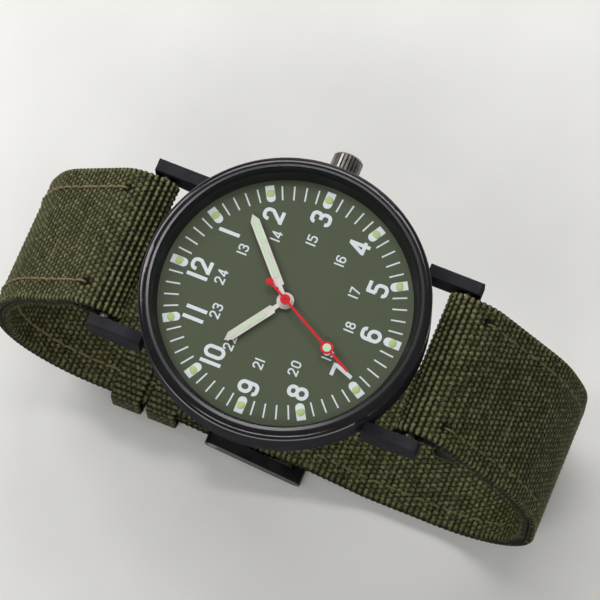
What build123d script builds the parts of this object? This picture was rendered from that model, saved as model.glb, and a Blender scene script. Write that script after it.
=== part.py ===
"""Field watch: black steel case, olive dial, quartz movement and a buckled woven strap.

Every piece is laid out about the dial: X towards the crown, Y towards 12 o'clock, Z out of
the dial, with the dial's face at height zero. The pieces are written with the centre of the
crystal's top as the origin. Lengths are millimetres.
"""

import math
import os

from build123d import *

# Shared allowances
OVERRUN = 1.0
SEAT_GAP = 0.02
RUNNING_GAP = 0.04
SOFT_GAP = 0.3

# Dial and its printing
DIAL_EDGE_GAP = 0.08
DIAL_THICKNESS = 0.4
DIAL_FOOT_RADIUS = 0.4
DIAL_FOOT_LENGTH = 1.2
DIAL_FOOT_CIRCLE = 11.8
PRINT_THICKNESS = 0.04
MARKER_EDGE_MARGIN = 1.45
MARKER_LENGTH = 2.4
MARKER_WIDTH = 1.25
MARKER_LUME_WIDTH = 1.15
MARKER_LUME_LENGTH = 1.05
MARKER_LUME_MARGIN = 0.6
MARKER_LUME_THICKNESS = 0.09
TICK_SETBACK = 0.25
TICK_LENGTH = 2.0
TICK_WIDTH = 0.21
HOUR_COUNT = 12
MINUTE_COUNT = 60
HOUR_NUMERAL_HEIGHT = 3.0
HOUR_NUMERAL_PEN = 0.51
HOUR_NUMERAL_SPACE = 0.42
HOUR_TWIN_ONE_SPACE = 0.94
HOUR_NUMERAL_INSET = 1.85
HOUR_NUMERAL_SHIFTS = {2: -0.1, 3: 0.26, 4: 0.12, 5: 0.12, 8: 0.32, 9: 0.46, 10: -0.3, 11: -0.18}
INNER_NUMERAL_HEIGHT = 1.45
INNER_NUMERAL_PEN = 0.21
INNER_NUMERAL_SPACE = 0.27
INNER_NUMERAL_INSET = 3.1

# Crystal, bezel and inner flange
CRYSTAL_TOP = 3.05
CRYSTAL_THICKNESS = 0.85
CRYSTAL_CHAMFER_WIDTH = 0.36
CRYSTAL_CHAMFER_DROP = 0.2
CRYSTAL_GASKET_WALL = 0.14
BEZEL_TOP = 2.8
BEZEL_SEAM = 1.65
BEZEL_FLAT = 0.16
BEZEL_SIDE = 0.7
BEZEL_RIM = 0.94
BEZEL_SEAT_WIDTH = 0.6
FLANGE_FOOT_WIDTH = 0.88
FLANGE_TOP_WIDTH = 0.28

# Case band, lugs and back
CASE_RADIUS = 20.0
CASE_SEAM_CHAMFER = 0.15
CASE_BOTTOM = -4.5
CASE_BOTTOM_CHAMFER = 0.8
CASE_WALL = 1.62
CASE_LEDGE_WIDTH = 0.58
LUG_GAP = 22.3
LUG_WIDTH = 1.8
LUG_TOP = -0.8
LUG_REACH = 4.2
LUG_TIP_HEIGHT = 3.4
LUG_ROOT_HEIGHT = 4.4
LUG_ROOT_DEPTH = 0.25
LUG_ROOT_FOOT = 0.4
LUG_CHAMFER = 0.3
BACK_THICKNESS = 1.1
BACK_MARGIN = 1.1
BACK_PLUG_HEIGHT = 0.6
BACK_PLUG_WALL = 1.2
BACK_NOTCH_COUNT = 6
BACK_NOTCH_WIDTH = 2.4
BACK_NOTCH_LENGTH = 1.3
BACK_NOTCH_DEPTH = 0.5
BACK_NOTCH_MARGIN = 1.7
BACK_GASKET_WIDTH = 0.36
BACK_GASKET_HEIGHT = 0.46

# Crown and setting work
CROWN_AXIS_HEIGHT = -2.0
CROWN_RADIUS = 2.15
CROWN_CASE_GAP = 0.35
CROWN_LENGTH = 3.0
CROWN_DOME_DROP = 0.2
CROWN_END_CHAMFER = 0.35
CROWN_RIM_CHAMFER = 0.25
CROWN_FLUTE_COUNT = 24
CROWN_FLUTE_DEPTH = 0.22
CROWN_FLUTE_SHARE = 0.6
CROWN_CAVITY_RADIUS = 1.45
CROWN_CAVITY_DEPTH = 2.4
TUBE_RADIUS = 1.1
TUBE_BORE = 0.55
TUBE_INSET = 0.1
TUBE_REACH = 2.45
CROWN_GASKET_OFFSET = 1.0
CROWN_GASKET_LENGTH = 0.5
STEM_RADIUS = 0.45
STEM_START = 7.6
STEM_SEAT_DEPTH = 0.6
STEM_GROOVE_START = 8.55
STEM_GROOVE_LENGTH = 0.9
STEM_GROOVE_RADIUS = 0.2
CROWN_PULL = 1.0
LEVER_ARM = 3.2
LEVER_NOSE_RADIUS = 0.3
LEVER_NOSE_OFFSET = 0.55
LEVER_NOSE_TOP = -1.75
LEVER_TOP = -2.6
LEVER_THICKNESS = 0.25
LEVER_HUB_RADIUS = 0.8
LEVER_TIP_RADIUS = 0.45
LEVER_STUD_RADIUS = 0.35
LEVER_STUD_END = -3.0

# Movement plates
MOVEMENT_RADIUS = 13.4
HOLDER_TOP = -0.44
HOLDER_BOTTOM = -3.85
HOLDER_STEM_HOLE = 0.6
PLATE_TOP = -1.3
PLATE_BOTTOM = -1.9
PLATE_STEM_SLOT = 2.2
PLATE_STEM_SLOT_START = 7.2
BRIDGE_TOP = -3.1
BRIDGE_THICKNESS = 0.3
BRIDGE_BOSS_RADIUS = 1.1
PILLAR_RADIUS = 0.9
PILLAR_DISTANCE = 5.2
PILLAR_BEARINGS = [150.0, 25.0, 273.0]
SCREW_RADIUS = 0.3
SCREW_LENGTH = 1.1
SCREW_HEAD_RADIUS = 0.65
SCREW_HEAD_HEIGHT = 0.28
SCREW_SLOT_WIDTH = 0.18
SCREW_SLOT_DEPTH = 0.12
PIVOT_RADIUS = 0.12
PIVOT_LENGTH = 0.2

# Gear train: a module for each mesh, and the two sides' teeth
TOOTH_ADDENDUM_SHARE = 0.7
TOOTH_DEDENDUM_SHARE = 1.0
TOOTH_ROOT_SHARE = 0.23
TOOTH_TIP_SHARE = 0.09
WHEEL_THICKNESS = 0.15
PINION_OVERLAP = 0.05
ROTOR_MODULE = 0.1
ROTOR_TEETH = 8
STEP_WHEEL_TEETH = 40
STEP_MODULE = 0.13
STEP_PINION_TEETH = 8
FOURTH_WHEEL_TEETH = 48
FOURTH_MODULE = 0.1
FOURTH_PINION_TEETH = 8
THIRD_WHEEL_TEETH = 60
THIRD_PINION_TEETH = 8
CENTRE_WHEEL_TEETH = 64
MOTION_MODULE = 0.12
CANNON_TEETH = 10
MINUTE_WHEEL_TEETH = 30
MINUTE_PINION_TEETH = 8
HOUR_WHEEL_TEETH = 32
THIRD_BEARING = 90.0
STEP_BEARING = -30.0
ROTOR_BEARING = -60.0
MINUTE_WHEEL_BEARING = 180.0
HOUR_WHEEL_BOTTOM = -0.75
HOUR_WHEEL_DISC = 0.2
MINUTE_WHEEL_BOTTOM = -1.15
MINUTE_WHEEL_DISC = 0.2
MINUTE_PINION_TOP = -0.52
CENTRE_WHEEL_BOTTOM = -2.15
THIRD_WHEEL_BOTTOM = -2.6
STEP_WHEEL_BOTTOM = -2.5
FOURTH_WHEEL_BOTTOM = -2.95
SECOND_ARBOR_RADIUS = 0.15
CENTRE_TUBE_RADIUS = 0.4
CENTRE_TUBE_BORE = 0.2
HOUR_TUBE_RADIUS = 0.75
DIAL_HOLE_GAP = 0.06
ARBOR_RADIUS = 0.15
MINUTE_STUD_RADIUS = 0.2
MAGNET_RADIUS = 0.6
MAGNET_BOTTOM = -2.28
MAGNET_TOP = -1.96

# Motor, battery and circuit
STATOR_BOTTOM = -2.25
STATOR_THICKNESS = 0.3
STATOR_LOBE_RADIUS = 1.6
STATOR_END_RADIUS = 0.9
STATOR_AIR_GAP = 0.15
COIL_SIDE_SHIFT = 4.1
COIL_DROP = 8.6
COIL_LENGTH = 5.8
COIL_WIDTH = 2.2
COIL_HEIGHT = 1.1
COIL_ROUNDING = 0.35
COIL_CORE_LENGTH = 9.0
COIL_CORE_WIDTH = 1.0
COIL_CORE_THICKNESS = 0.48
BATTERY_RADIUS = 4.75
BATTERY_CAP_RADIUS = 4.1
BATTERY_CAP_HEIGHT = 0.25
BATTERY_TOP = -1.95
BATTERY_THICKNESS = 1.6
BATTERY_DISTANCE = 8.55
BATTERY_BEARING = 210.0
CLAMP_WIDTH = 2.4
CLAMP_THICKNESS = 0.12
CLAMP_LEG = 0.5
CLAMP_SIDE_GAP = 0.12
BOARD_DISTANCE = 8.6
BOARD_BEARING = 125.0
BOARD_LENGTH = 9.5
BOARD_WIDTH = 4.2
BOARD_THICKNESS = 0.3
BOARD_TOP = -2.0
CHIP_SIZE = 2.2
CHIP_HEIGHT = 0.5
CHIP_OFFSET = 2.6
QUARTZ_RADIUS = 0.6
QUARTZ_LENGTH = 4.4
QUARTZ_OFFSET = 1.3

# Hands
HAND_THICKNESS = 0.15
HOUR_HAND_BOTTOM = 0.42
MINUTE_HAND_BOTTOM = 0.78
SECOND_HAND_BOTTOM = 1.14
HOUR_HAND_ANGLE = 304.0
MINUTE_HAND_ANGLE = 47.4
SECOND_HAND_ANGLE = 208.2
HOUR_HAND_SHORTER = 3.15
HOUR_HAND_WIDTH = 1.24
HOUR_HAND_BODY_START = 1.95
HOUR_HUB_RADIUS = 1.2
MINUTE_HAND_CLEAR = 1.35
MINUTE_HAND_WIDTH = 1.28
MINUTE_HAND_BODY_START = 2.1
MINUTE_HUB_RADIUS = 0.95
HAND_NECK_WIDTH = 0.6
HAND_POINT_LENGTH = 1.0
HAND_SHOULDER_LENGTH = 0.1
HAND_LUME_SETBACK = 1.2
HAND_LUME_INSET = 0.32
HAND_LUME_PROUD = 0.03
SECOND_HAND_CLEAR = 1.25
SECOND_WIDTH = 0.32
SECOND_HUB_RADIUS = 0.7
SECOND_RING_FROM_TIP = 4.3
SECOND_RING_RADIUS = 0.88
SECOND_LUME_RADIUS = 0.6
SECOND_WEIGHT_PLACE = 3.3
SECOND_WEIGHT_RADIUS = 0.5

# Spring bars
BAR_CASE_DISTANCE = 2.4
BAR_HEIGHT = -2.6
BAR_TUBE_RADIUS = 0.9
BAR_TUBE_BORE = 0.62
BAR_LUG_GAP = 0.4
BAR_TRAVEL = 1.0
BAR_TRAVEL_GAP = 0.1
BAR_FLANGE_RADIUS = 0.85
BAR_FLANGE_LENGTH = 0.45
BAR_PIVOT_RADIUS = 0.5
BAR_PIVOT_REACH = 0.95
BAR_HOLE_RADIUS = 0.54
BAR_HOLE_DEPTH = 1.2
BAR_ROD_LENGTH = 2.7
BAR_SPRING_BORE = 0.35

# Strap
STRAP_WIDTH = 20.8
STRAP_THICKNESS = 2.1
EYE_WALL = 1.15
EYE_CLEARANCE = 0.1
EYE_TAPER = 4.8
SHOULDER_REACH = 3.6
SHOULDER_RADIUS = 5.0
SLOPE_END_REACH = 15.1
SLOPE_END_HEIGHT = -14.5
SLOPE_END_RADIUS = 18.0
SIDE_REACH = 18.5
SIDE_START_HEIGHT = -24.0
SIDE_START_RADIUS = 20.0
CORNER_RADIUS = 14.0
FLOOR_STRETCH_HEIGHT = -44.6
TAIL_STRETCH_DROP = 3.6

# Buckle, all on the strap's lower stretch; drops are measured down from its middle
PIN_PLACE = 7.5
PIN_RADIUS = 0.75
PIN_EYE_CLEARANCE = 0.15
PIN_EYE_WALL = 1.1
PIN_EYE_TAPER = 5.0
ARM_GAP = 0.4
ARM_WIDTH = 1.8
ARM_PIN_END = 1.3
FAR_BAR_PLACE = -5.3
FAR_BAR_DROP = 3.55
FAR_BAR_RADIUS = 1.1
TONGUE_RADIUS = 0.65
TONGUE_RING_RADIUS = 1.5
TONGUE_RING_WIDTH = 2.4
TONGUE_SLOT_WIDTH = 3.2
TONGUE_DROP = 4.0
TONGUE_ROOT_PLACE = 6.4
TONGUE_BEND_PLACE = 4.6
TONGUE_BEND_DROP = 0.2
TONGUE_KNEE_PLACE = 0.6
TONGUE_OVERHANG = 1.3
TONGUE_BEND_RADIUS = 1.6
TONGUE_NOTCH_GAP = 0.08
TAIL_RISE_START = -16.0
TAIL_RISE_END = -7.0
TAIL_BAR_DROP = 1.1
TAIL_FALL_START = -4.0
TAIL_PIN_START = 6.8
TAIL_PIN_END = 9.0
TAIL_PIN_DROP = 3.4
TAIL_LAY_START = 13.5
TAIL_LAY_DROP = 2.4
TAIL_BEND_RADIUS = 6.0
TAIL_TIP = 26.0
TAIL_POINT_LENGTH = 7.0
TAIL_POINT_WIDTH = 6.0
HOLE_COUNT = 8
HOLE_USED = 3
HOLE_PITCH = 7.0
HOLE_LENGTH = 4.2
HOLE_WIDTH = 1.9
HOLE_USED_PLACE = 2.5
KEEPER_WALL = 0.9
KEEPER_ROUNDING = 0.8
FIXED_KEEPER_START = 14.2
FREE_KEEPER_START = 19.9
KEEPER_LENGTH = 4.5

# What follows from the sizes above
CASE_BORE = CASE_RADIUS - CASE_WALL - CASE_LEDGE_WIDTH
FLANGE_OUTER_RADIUS = CASE_RADIUS - CASE_WALL
FLANGE_FOOT_RADIUS = FLANGE_OUTER_RADIUS - FLANGE_FOOT_WIDTH
FLANGE_TOP_RADIUS = FLANGE_OUTER_RADIUS - FLANGE_TOP_WIDTH
DIAL_RADIUS = FLANGE_OUTER_RADIUS - DIAL_EDGE_GAP
MARKER_OUTER = DIAL_RADIUS - MARKER_EDGE_MARGIN
MARKER_INNER = MARKER_OUTER - MARKER_LENGTH
TICK_OUTER = MARKER_OUTER - TICK_SETBACK
TICK_INNER = TICK_OUTER - TICK_LENGTH
HOUR_NUMERAL_RADIUS = MARKER_INNER - HOUR_NUMERAL_INSET
INNER_NUMERAL_RADIUS = HOUR_NUMERAL_RADIUS - INNER_NUMERAL_INSET
MINUTE_HAND_TIP = MARKER_INNER - MINUTE_HAND_CLEAR
HOUR_HAND_TIP = MINUTE_HAND_TIP - HOUR_HAND_SHORTER
SECOND_TIP = MARKER_INNER - SECOND_HAND_CLEAR
SECOND_RING_PLACE = SECOND_TIP - SECOND_RING_FROM_TIP
BEZEL_BORE = CASE_RADIUS - BEZEL_RIM
GASKET_RADIUS = BEZEL_BORE - SEAT_GAP
CRYSTAL_RADIUS = GASKET_RADIUS - CRYSTAL_GASKET_WALL - SEAT_GAP
BEZEL_SEAT_RADIUS = CRYSTAL_RADIUS - BEZEL_SEAT_WIDTH
BACK_RADIUS = CASE_RADIUS - BACK_MARGIN
BACK_NOTCH_CIRCLE = BACK_RADIUS - BACK_NOTCH_MARGIN
LUG_INNER = LUG_GAP / 2
LUG_TIP = CASE_RADIUS + LUG_REACH
LUG_ROOT_START = math.sqrt((CASE_RADIUS - LUG_ROOT_DEPTH) ** 2 - LUG_INNER ** 2)
LUG_ROOT_END = CASE_RADIUS - LUG_ROOT_FOOT
CROWN_START = CASE_RADIUS + CROWN_CASE_GAP
CROWN_END = CROWN_START + CROWN_LENGTH
TUBE_START = CASE_BORE + TUBE_INSET
TUBE_END = CASE_RADIUS + TUBE_REACH
CROWN_GASKET_START = CASE_RADIUS + CROWN_GASKET_OFFSET
BAR_PLACE = CASE_RADIUS + BAR_CASE_DISTANCE
BAR_FLANGE_END = LUG_INNER - BAR_LUG_GAP
BAR_FLANGE_START = BAR_FLANGE_END - BAR_FLANGE_LENGTH
BAR_TUBE_HALF = BAR_FLANGE_START - BAR_TRAVEL_GAP - BAR_TRAVEL
BAR_ROD_START = BAR_FLANGE_START - BAR_ROD_LENGTH
SHOULDER_PLACE = BAR_PLACE + SHOULDER_REACH
SLOPE_END_PLACE = BAR_PLACE + SLOPE_END_REACH
SIDE_PLACE = BAR_PLACE + SIDE_REACH
HALF_STRAP = STRAP_WIDTH / 2
HALF_BAND = STRAP_THICKNESS / 2
BAR_EYE_BORE = BAR_TUBE_RADIUS + EYE_CLEARANCE
BAR_EYE_RADIUS = BAR_EYE_BORE + EYE_WALL
STRAP_TOP_MIDDLE = BAR_HEIGHT + BAR_EYE_RADIUS - HALF_BAND
PIN_EYE_BORE = PIN_RADIUS + PIN_EYE_CLEARANCE
PIN_EYE_RADIUS = PIN_EYE_BORE + PIN_EYE_WALL
CRYSTAL_BOTTOM = CRYSTAL_TOP - CRYSTAL_THICKNESS
CRYSTAL_SEAT = CRYSTAL_BOTTOM - SEAT_GAP
MOVEMENT_FLOOR = BRIDGE_TOP - BRIDGE_THICKNESS
THIRD_DISTANCE = FOURTH_MODULE * (FOURTH_PINION_TEETH + THIRD_WHEEL_TEETH) / 2
THIRD_MODULE = 2 * THIRD_DISTANCE / (THIRD_PINION_TEETH + CENTRE_WHEEL_TEETH)
STEP_DISTANCE = STEP_MODULE * (STEP_PINION_TEETH + FOURTH_WHEEL_TEETH) / 2
ROTOR_DISTANCE = ROTOR_MODULE * (ROTOR_TEETH + STEP_WHEEL_TEETH) / 2
MINUTE_WHEEL_DISTANCE = MOTION_MODULE * (CANNON_TEETH + MINUTE_WHEEL_TEETH) / 2
LEVER_PLACE = (STEM_GROOVE_START + STEM_GROOVE_LENGTH / 2, LEVER_NOSE_OFFSET + LEVER_ARM)

UP = (Align.CENTER, Align.CENTER, Align.MIN)


def polar(distance, bearing, start=(0, 0)):
    """Point at a distance and a bearing, in degrees from +X, from a start point."""
    angle = math.radians(bearing)
    return (start[0] + distance * math.cos(angle), start[1] + distance * math.sin(angle))


THIRD_PLACE = polar(THIRD_DISTANCE, THIRD_BEARING)
STEP_PLACE = polar(STEP_DISTANCE, STEP_BEARING)
ROTOR_PLACE = polar(ROTOR_DISTANCE, ROTOR_BEARING, STEP_PLACE)
MINUTE_WHEEL_PLACE = polar(MINUTE_WHEEL_DISTANCE, MINUTE_WHEEL_BEARING)
BATTERY_PLACE = polar(BATTERY_DISTANCE, BATTERY_BEARING)
PILLAR_PLACES = [polar(PILLAR_DISTANCE, bearing) for bearing in PILLAR_BEARINGS]
BOARD_PLACE = polar(BOARD_DISTANCE, BOARD_BEARING)


def save(shape, node):
    """Write one node, moved so that the crystal's top centre is the origin."""
    export_step(Pos(0, 0, -CRYSTAL_TOP) * shape, f"parts/{node}.step")


def together(solids):
    """Join separate solids into one node without fusing them."""
    return Compound([solid for shape in solids for solid in shape.solids()])


def disc(radius, bottom, top, place=(0, 0)):
    """Upright cylinder between two heights."""
    return Pos(place[0], place[1], bottom) * Cylinder(radius, top - bottom, align=UP)


def ring(outer, inner, bottom, top, place=(0, 0)):
    """Upright tube between two heights."""
    return disc(outer, bottom, top, place) - disc(inner, bottom - OVERRUN, top + OVERRUN, place)


def block(x_range, y_range, z_range):
    """Box between three pairs of limits."""
    size = [limits[1] - limits[0] for limits in (x_range, y_range, z_range)]
    corner = (x_range[0], y_range[0], z_range[0])
    return Pos(*corner) * Box(*size, align=(Align.MIN, Align.MIN, Align.MIN))


def rod(radius, start, end, y=0, z=0):
    """Cylinder along X between two places."""
    return Pos(start, y, z) * Rot(0, 90, 0) * Cylinder(radius, end - start, align=UP)


def turned(points):
    """Solid of revolution about Z from an outline of (radius, height) points."""
    return revolve(make_face(Plane.XZ * Polyline(*points, close=True)), Axis.Z)


def prism(points, bottom, top):
    """Upright prism over an outline of (x, y) points."""
    face = make_face(Polyline(*points, close=True))
    return Pos(0, 0, bottom) * extrude(face, top - bottom, dir=(0, 0, 1))


def hull_plate(circles, bottom, top):
    """Flat plate with the convex outline of several circles, each (place, radius)."""
    edges = []
    for place, radius in circles:
        edges += (Pos(*place) * Circle(radius)).edges()
    return Pos(0, 0, bottom) * extrude(make_hull(edges), top - bottom, dir=(0, 0, 1))


def rounded_line(points, radii):
    """Run of straight lines through the points, with each inner corner rounded."""
    start = Vector(*points[0])
    edges = []
    for index, radius in enumerate(radii):
        corner = Vector(*points[index + 1])
        before = (corner - Vector(*points[index])).normalized()
        after = (Vector(*points[index + 2]) - corner).normalized()
        trim = radius * math.tan(math.radians(before.get_angle(after)) / 2)
        bend_start = corner - before * trim
        edges.append(Line(start, bend_start))
        start = corner + after * trim
        if radius > 0:
            edges.append(TangentArc(bend_start, start, tangent=before))
    edges.append(Line(start, Vector(*points[-1])))
    return Wire([edge for line in edges for edge in line.edges()])


def side_line(points, radii, offset):
    """Rounded line at a sideways offset from a run of points, with its roundings adjusted."""
    steps = [(b[0] - a[0], b[1] - a[1]) for a, b in zip(points, points[1:])]
    units = [(x / math.hypot(x, y), y / math.hypot(x, y)) for x, y in steps]
    normals = [(-y, x) for x, y in units]
    places = [(points[0][0] + offset * normals[0][0], points[0][1] + offset * normals[0][1])]
    bends = []
    for index, radius in enumerate(radii):
        before, after = normals[index], normals[index + 1]
        spread = 1 + before[0] * after[0] + before[1] * after[1]
        shift = ((before[0] + after[0]) / spread, (before[1] + after[1]) / spread)
        corner = points[index + 1]
        places.append((corner[0] + offset * shift[0], corner[1] + offset * shift[1]))
        turn = units[index][0] * units[index + 1][1] - units[index][1] * units[index + 1][0]
        bends.append(max(radius - offset * math.copysign(1, turn), 0))
    places.append((points[-1][0] + offset * normals[-1][0], points[-1][1] + offset * normals[-1][1]))
    return rounded_line(places, bends)


def band(points, radii, half_width):
    """Face of even width along a rounded run of points, with square ends."""
    left = side_line(points, radii, half_width)
    right = side_line(points, radii, -half_width)
    ends = [Line(left @ 1, right @ 1).edge(), Line(right @ 0, left @ 0).edge()]
    return make_face(left.edges() + right.edges() + ends)


def toothed(module, teeth, bottom, top, place=(0, 0), tooth_bearing=0.0):
    """Toothed disc with one tooth centred on the given bearing."""
    pitch_radius = module * teeth / 2
    root = pitch_radius - module * TOOTH_DEDENDUM_SHARE
    tip = pitch_radius + module * TOOTH_ADDENDUM_SHARE
    pitch = 360 / teeth
    corners = [
        (root, -TOOTH_ROOT_SHARE),
        (tip, -TOOTH_TIP_SHARE),
        (tip, TOOTH_TIP_SHARE),
        (root, TOOTH_ROOT_SHARE),
    ]
    points = [
        polar(radius, tooth_bearing + pitch * (tooth + share), place)
        for tooth in range(teeth)
        for radius, share in corners
    ]
    return prism(points, bottom, top)


def facing_tooth(teeth, bearing):
    """Bearing of a tooth beside the gap that receives a neighbour's tooth at this bearing."""
    return bearing + 180 + 180 / teeth


def case_middle():
    """Case band with its four straight lugs, bored for the dial, crown tube and spring bars."""
    ledge = -DIAL_THICKNESS - SEAT_GAP
    outline = [
        (CASE_BORE, CASE_BOTTOM),
        (CASE_RADIUS - CASE_BOTTOM_CHAMFER, CASE_BOTTOM),
        (CASE_RADIUS, CASE_BOTTOM + CASE_BOTTOM_CHAMFER),
        (CASE_RADIUS, BEZEL_SEAM - CASE_SEAM_CHAMFER),
        (CASE_RADIUS - CASE_SEAM_CHAMFER, BEZEL_SEAM),
        (FLANGE_OUTER_RADIUS + RUNNING_GAP, BEZEL_SEAM),
        (FLANGE_OUTER_RADIUS + RUNNING_GAP, ledge),
        (CASE_BORE, ledge),
    ]
    body = turned(outline)
    lug_outline = [
        (LUG_ROOT_START, LUG_TOP),
        (LUG_TIP - LUG_CHAMFER, LUG_TOP),
        (LUG_TIP, LUG_TOP - LUG_CHAMFER),
        (LUG_TIP, LUG_TOP - LUG_TIP_HEIGHT + LUG_CHAMFER),
        (LUG_TIP - LUG_CHAMFER, LUG_TOP - LUG_TIP_HEIGHT),
        (LUG_ROOT_END, LUG_TOP - LUG_ROOT_HEIGHT),
        (LUG_ROOT_START, LUG_TOP - LUG_ROOT_HEIGHT),
    ]
    lug_face = make_face(Plane.YZ * Polyline(*lug_outline, close=True))
    lug = Pos(LUG_INNER, 0, 0) * extrude(lug_face, LUG_WIDTH, dir=(1, 0, 0))
    outer_edge = lug.edges().filter_by(Axis.Y).sort_by(lambda e: e.center().X + e.center().Z)[-1]
    lug = chamfer(outer_edge, LUG_CHAMFER)
    lug -= rod(BAR_HOLE_RADIUS, LUG_INNER - OVERRUN, LUG_INNER + BAR_HOLE_DEPTH, BAR_PLACE, BAR_HEIGHT)
    lug -= disc(FLANGE_OUTER_RADIUS, CASE_BOTTOM - OVERRUN, BEZEL_TOP)
    other_lug = mirror(lug, Plane.YZ)
    body += [lug, other_lug, mirror(lug, Plane.XZ), mirror(other_lug, Plane.XZ)]
    tube_bore = TUBE_RADIUS + SEAT_GAP
    body -= rod(tube_bore, MOVEMENT_RADIUS, CASE_RADIUS + OVERRUN, 0, CROWN_AXIS_HEIGHT)
    return body


def bezel():
    """Bezel ring with a rounded outer shoulder and an inner seat under the crystal."""
    shoulder = (BEZEL_BORE + BEZEL_FLAT, BEZEL_TOP)
    side_top = (CASE_RADIUS, BEZEL_SEAM + BEZEL_SIDE)
    foot = BEZEL_SEAM + SEAT_GAP
    profile = Plane.XZ * (
        Polyline(
            side_top,
            (CASE_RADIUS, foot),
            (BEZEL_SEAT_RADIUS, foot),
            (BEZEL_SEAT_RADIUS, CRYSTAL_SEAT),
            (BEZEL_BORE, CRYSTAL_SEAT),
            (BEZEL_BORE, BEZEL_TOP),
            shoulder,
        )
        + TangentArc(shoulder, side_top, tangent=(1, 0))
    )
    return revolve(make_face(profile), Axis.Z)


def crystal():
    """Flat crystal with a wide polished edge chamfer."""
    outline = [
        (0, CRYSTAL_BOTTOM),
        (CRYSTAL_RADIUS, CRYSTAL_BOTTOM),
        (CRYSTAL_RADIUS, CRYSTAL_TOP - CRYSTAL_CHAMFER_DROP),
        (CRYSTAL_RADIUS - CRYSTAL_CHAMFER_WIDTH, CRYSTAL_TOP),
        (0, CRYSTAL_TOP),
    ]
    return turned(outline)


def crystal_gasket():
    """Black ring pressed between the crystal's edge and the bezel."""
    bottom = CRYSTAL_SEAT + SEAT_GAP
    return ring(GASKET_RADIUS, CRYSTAL_RADIUS + SEAT_GAP, bottom, BEZEL_TOP - SEAT_GAP)


def rehaut_ring():
    """Black inner flange that rises from the dial's edge to the bezel's seat."""
    top = BEZEL_SEAM - SEAT_GAP
    outline = [
        (FLANGE_FOOT_RADIUS, SEAT_GAP),
        (FLANGE_OUTER_RADIUS, SEAT_GAP),
        (FLANGE_OUTER_RADIUS, top),
        (FLANGE_TOP_RADIUS, top),
    ]
    return turned(outline)


def dial():
    """Dial plate with its centre hole and two feet."""
    plate = disc(DIAL_RADIUS, -DIAL_THICKNESS, 0)
    for side in (-1, 1):
        foot_place = (0, side * DIAL_FOOT_CIRCLE)
        plate += disc(DIAL_FOOT_RADIUS, -DIAL_THICKNESS - DIAL_FOOT_LENGTH, -DIAL_THICKNESS, foot_place)
    return plate - disc(HOUR_TUBE_RADIUS + DIAL_HOLE_GAP, -DIAL_THICKNESS - OVERRUN, OVERRUN)


def hour_markers():
    """Twelve white plots, square outside and round inside."""
    half = MARKER_WIDTH / 2
    straight = block((-half, half), (MARKER_INNER + half, MARKER_OUTER), (0, PRINT_THICKNESS))
    plot = straight + disc(half, 0, PRINT_THICKNESS, (0, MARKER_INNER + half))
    return together([Rot(0, 0, 360 * hour / HOUR_COUNT) * plot for hour in range(HOUR_COUNT)])


def marker_lume():
    """Luminous patch on each plot."""
    half = MARKER_LUME_WIDTH / 2
    outer = MARKER_OUTER - MARKER_LUME_MARGIN
    heights = (PRINT_THICKNESS, PRINT_THICKNESS + MARKER_LUME_THICKNESS)
    patch = block((-half, half), (outer - MARKER_LUME_LENGTH, outer), heights)
    return together([Rot(0, 0, 360 * hour / HOUR_COUNT) * patch for hour in range(HOUR_COUNT)])


def minute_track():
    """Minute strokes between the hour plots."""
    half = TICK_WIDTH / 2
    tick = block((-half, half), (TICK_INNER, TICK_OUTER), (0, PRINT_THICKNESS))
    between = [m for m in range(MINUTE_COUNT) if m % (MINUTE_COUNT // HOUR_COUNT)]
    return together([Rot(0, 0, 360 * minute / MINUTE_COUNT) * tick for minute in between])


# Numerals, drawn as pen strokes in shares of the numeral's height. A stroke is its corner
# points and the roundings between them; a loop is a rounded frame given by its four limits.
GLYPH_WIDTH_SHARE = 0.62
LOOP_ROUND_SHARE = 0.98
STROKE_SHARES = {
    2: [([(0.0, 0.70), (0.0, 1.0), (1.0, 1.0), (1.0, 0.60), (0.06, 0.05)], (0.19, 0.19, 0.13)),
        ([(-0.2, 0.0), (1.2, 0.0)], ())],
    3: [([(0.0, 0.80), (0.0, 1.0), (1.0, 1.0), (1.0, 0.53), (0.35, 0.53)], (0.14, 0.17, 0.17)),
        ([(0.35, 0.53), (1.0, 0.53), (1.0, 0.0), (0.0, 0.0), (0.0, 0.22)], (0.19, 0.19, 0.14))],
    4: [([(0.78, -0.1), (0.78, 1.1)], ()),
        ([(-0.2, 0.22), (1.25, 0.22)], ()),
        ([(0.72, 1.0), (0.0, 0.24)], ())],
    5: [([(1.15, 1.0), (0.08, 1.0), (0.08, 0.55)], (0.0,)),
        ([(0.08, 0.60), (1.0, 0.60), (1.0, 0.0), (0.0, 0.0), (0.0, 0.20)], (0.19, 0.19, 0.13))],
    6: [([(0.0, 0.30), (0.0, 1.0), (1.0, 1.0), (1.0, 0.80)], (0.19, 0.14))],
    7: [([(-0.2, 1.0), (1.15, 1.0)], ()),
        ([(1.0, 0.97), (0.30, -0.1)], ())],
    9: [([(1.0, 0.70), (1.0, 0.0), (0.0, 0.0), (0.0, 0.20)], (0.19, 0.13))],
}
LOOP_SHARES = {
    0: [(0.0, 0.0, 1.0, 1.0)],
    6: [(0.0, 0.0, 1.0, 0.60)],
    8: [(0.0, 0.0, 1.0, 0.54), (0.05, 0.54, 0.95, 1.0)],
    9: [(0.0, 0.40, 1.0, 1.0)],
}


def loop_face(limits, pen):
    """Rounded frame whose middle line runs on the given limits."""
    left, bottom, right, top = limits
    width, height = right - left, top - bottom
    centre = Pos((left + right) / 2, (bottom + top) / 2)
    outer_round = LOOP_ROUND_SHARE * min(width + pen, height + pen) / 2
    inner_round = LOOP_ROUND_SHARE * min(width - pen, height - pen) / 2
    outer = RectangleRounded(width + pen, height + pen, outer_round)
    inner = RectangleRounded(width - pen, height - pen, inner_round)
    return centre * (outer - inner)


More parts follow.
